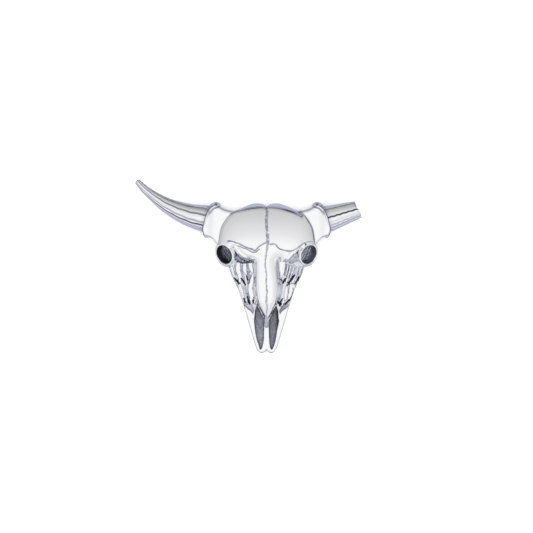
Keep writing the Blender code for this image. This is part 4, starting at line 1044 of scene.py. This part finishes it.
def makeSide(side, word, looks):
    print("cheek, boss, socket and horn on the", word)
    borders = [border("cheekTop", side, relief["eyeOverlap"]), border("cheekEdge", side), border("lipSeam", side),
               border("slotLip", side), backwards(border("barEdge", side, relief["overlap"])),
               backwards(border("browEdge", side, relief["overlap"]))]
    place(reliefPiece(f"cheek.{word}", borders, lambda points: cheekSurface(points, side), 0.07),
          "carved_cheeks", looks["carvedCheeks"], f"cheek_{word}")
    borders = [border("bossTopEdge", side), border("collarEdge", side), border("bossLowEdge", side),
               border("templeEdge", side, relief["overlap"]), border("crease", side, relief["overlap"])]
    place(reliefPiece(f"boss.{word}", borders, lambda points: bossSurface(points, side)),
          "polished_bosses", looks["polishedBosses"], f"horn_base_{word}")
    place(collarPiece(side, word), "polished_bosses", looks["polishedBosses"])
    place(eyePiece(side, word), "eye_sockets", looks["eyeSockets"], f"eye_socket_{word}")
    place(hornPiece(side, word, side == 1), "fluted_horns", looks["flutedHorns"], f"horn_{word}")


# Floor, light and camera
studio = {
    "floorSize": 1.2,
    "floorColour": (0.95, 0.95, 0.955),
    "floorMirror": (0.5, 0.5, 0.6),  # what the metal sees of the floor
    "whiteLean": 12.0,  # degrees that the tent's white middle leans toward the chin
    "tent": [(0.0, 0.35), (0.26, 0.45), (0.56, 0.6), (0.71, 0.69), (0.88, 0.83), (0.965, 0.985), (1.0, 1.0)],
    "panelWay": (0.74, -0.66, 0.14),  # where the right white panel stands; the left one mirrors it
    "panelColour": (1.0, 1.0, 1.02),
    "panel": [(0.78, 0.0), (0.92, 1.0)],
    "horizon": [(0.0, (0.5, 0.5, 0.6)), (0.5, (0.42, 0.42, 0.5)), (0.52, (0.1, 0.1, 0.13)),
                (0.56, (0.12, 0.12, 0.15)), (0.61, (0.75, 0.75, 0.8)), (0.64, (1.0, 1.0, 1.0))],
    "fillStrength": 3.0,
    "fillAngle": 60.0,
}


def makeFloor():
    half = studio["floorSize"] / 2
    level = floorHeight * millimetre
    data = bpy.data.meshes.new("floor")
    data.from_pydata([(-half, -half, level), (half, -half, level), (half, half, level), (-half, half, level)], [],
                     [(0, 1, 2, 3)])
    floor = bpy.data.objects.new("floor", data)
    bpy.context.scene.collection.objects.link(floor)
    material = bpy.data.materials.new("floorPaper")
    material.use_nodes = True
    nodes, link = material.node_tree.nodes, material.node_tree.links.new
    shader = nodes["Principled BSDF"]
    shader.inputs["Base Color"].default_value = (*studio["floorColour"], 1)
    shader.inputs["Roughness"].default_value = 0.9
    shader.inputs["Specular IOR Level"].default_value = 0.0
    glow = nodes.new("ShaderNodeEmission")
    glow.inputs["Color"].default_value = (*studio["floorMirror"], 1)
    ray = nodes.new("ShaderNodeLightPath")
    swap = nodes.new("ShaderNodeMixShader")
    link(ray.outputs["Is Glossy Ray"], swap.inputs["Fac"])
    link(shader.outputs["BSDF"], swap.inputs[1])
    link(glow.outputs["Emission"], swap.inputs[2])
    link(swap.outputs["Shader"], nodes["Material Output"].inputs["Surface"])
    data.materials.append(material)


def makeTent():
    # a white tent of light, grey toward its sides, with a dark line at the horizon
    world = bpy.data.worlds.new("tent")
    bpy.context.scene.world = world
    world.use_nodes = True
    nodes, link = world.node_tree.nodes, world.node_tree.links.new
    spot = nodes.new("ShaderNodeTexCoord")

    def ramp(source, stops):
        piece = nodes.new("ShaderNodeValToRGB")
        while len(piece.color_ramp.elements) < len(stops):
            piece.color_ramp.elements.new(0.5)
        for element, (at, level) in zip(piece.color_ramp.elements, stops):
            element.position = at
            element.color = (*level, 1) if isinstance(level, tuple) else (level, level, level, 1)
        link(source, piece.inputs["Fac"])
        return piece.outputs["Color"]

    lean = math.radians(studio["whiteLean"])
    facing = nodes.new("ShaderNodeVectorMath")
    facing.operation = "DOT_PRODUCT"
    facing.inputs[1].default_value = (0, -math.sin(lean), math.cos(lean))
    link(spot.outputs["Generated"], facing.inputs[0])
    parts = nodes.new("ShaderNodeSeparateXYZ")
    link(spot.outputs["Generated"], parts.inputs[0])
    rise = nodes.new("ShaderNodeMapRange")
    rise.inputs["From Min"].default_value = -1
    link(parts.outputs["Z"], rise.inputs["Value"])
    product = nodes.new("ShaderNodeMix")
    product.data_type = "RGBA"
    product.blend_type = "MULTIPLY"
    product.inputs["Factor"].default_value = 1
    link(ramp(facing.outputs["Value"], studio["tent"]), product.inputs["A"])
    link(ramp(rise.outputs["Result"], studio["horizon"]), product.inputs["B"])
    folded = nodes.new("ShaderNodeVectorMath")  # one panel on each side of the skull
    folded.operation = "MULTIPLY"
    mirror = nodes.new("ShaderNodeVectorMath")
    mirror.operation = "SIGN"
    link(spot.outputs["Generated"], mirror.inputs[0])
    link(spot.outputs["Generated"], folded.inputs[0])
    outward = nodes.new("ShaderNodeCombineXYZ")
    outward.inputs["Y"].default_value = 1
    outward.inputs["Z"].default_value = 1
    sides = nodes.new("ShaderNodeSeparateXYZ")
    link(mirror.outputs["Vector"], sides.inputs[0])
    link(sides.outputs["X"], outward.inputs["X"])
    link(outward.outputs["Vector"], folded.inputs[1])
    panel = nodes.new("ShaderNodeVectorMath")
    panel.operation = "DOT_PRODUCT"
    panel.inputs[1].default_value = Vector(studio["panelWay"]).normalized()
    link(folded.outputs["Vector"], panel.inputs[0])
    lit = nodes.new("ShaderNodeMix")
    lit.data_type = "RGBA"
    lit.inputs["B"].default_value = (*studio["panelColour"], 1)
    link(ramp(panel.outputs["Value"], studio["panel"]), lit.inputs["Factor"])
    link(product.outputs["Result"], lit.inputs["A"])
    link(lit.outputs["Result"], nodes["Background"].inputs["Color"])
    light = bpy.data.lights.new("fill", "SUN")
    light.energy = studio["fillStrength"]
    light.angle = math.radians(studio["fillAngle"])
    lamp = bpy.data.objects.new("fill", light)
    lamp.visible_glossy = False
    bpy.context.scene.collection.objects.link(lamp)


# The photograph's view: straight down on the face, through a long lens
photo = {
    "pixels": 533,  # width and height of the photograph
    "pixelSize": 0.22,  # mm that one pixel covers on the skull
    "middle": (266.5, 266.0),  # column of the skull's midline and row of its origin
    "focusHeight": 4.0,  # mm above the back where the scale is true
    "distance": 1000.0,  # mm from the lens to that height
}


def makeCamera():
    data = bpy.data.cameras.new("camera")
    camera = bpy.data.objects.new("camera", data)
    bpy.context.scene.collection.objects.link(camera)
    width = photo["pixels"] * photo["pixelSize"]
    data.sensor_width = 36
    data.lens = data.sensor_width * photo["distance"] / width
    data.clip_start = 0.01
    data.clip_end = 10
    centre = photo["pixels"] / 2
    camera.location = Vector(((centre - photo["middle"][0]) * photo["pixelSize"],
                              (photo["middle"][1] - centre) * photo["pixelSize"],
                              photo["focusHeight"] + photo["distance"])) * millimetre
    bpy.context.scene.camera = camera
    bpy.context.scene.view_settings.view_transform = "Standard"


def makeSkull():
    groups = {"tarnishAndShade": tarnishAndShadeGroup(), "scratches": scratchGroup()}
    looks = {name: silverMaterial(name, groups, name == "flutedHorns") for name in finishes}
    makeFace(looks)
    for side, word in ((-1, "left"), (1, "right")):
        makeSide(side, word, looks)


makeCamera()
makeSkull()
makeFloor()
makeTent()
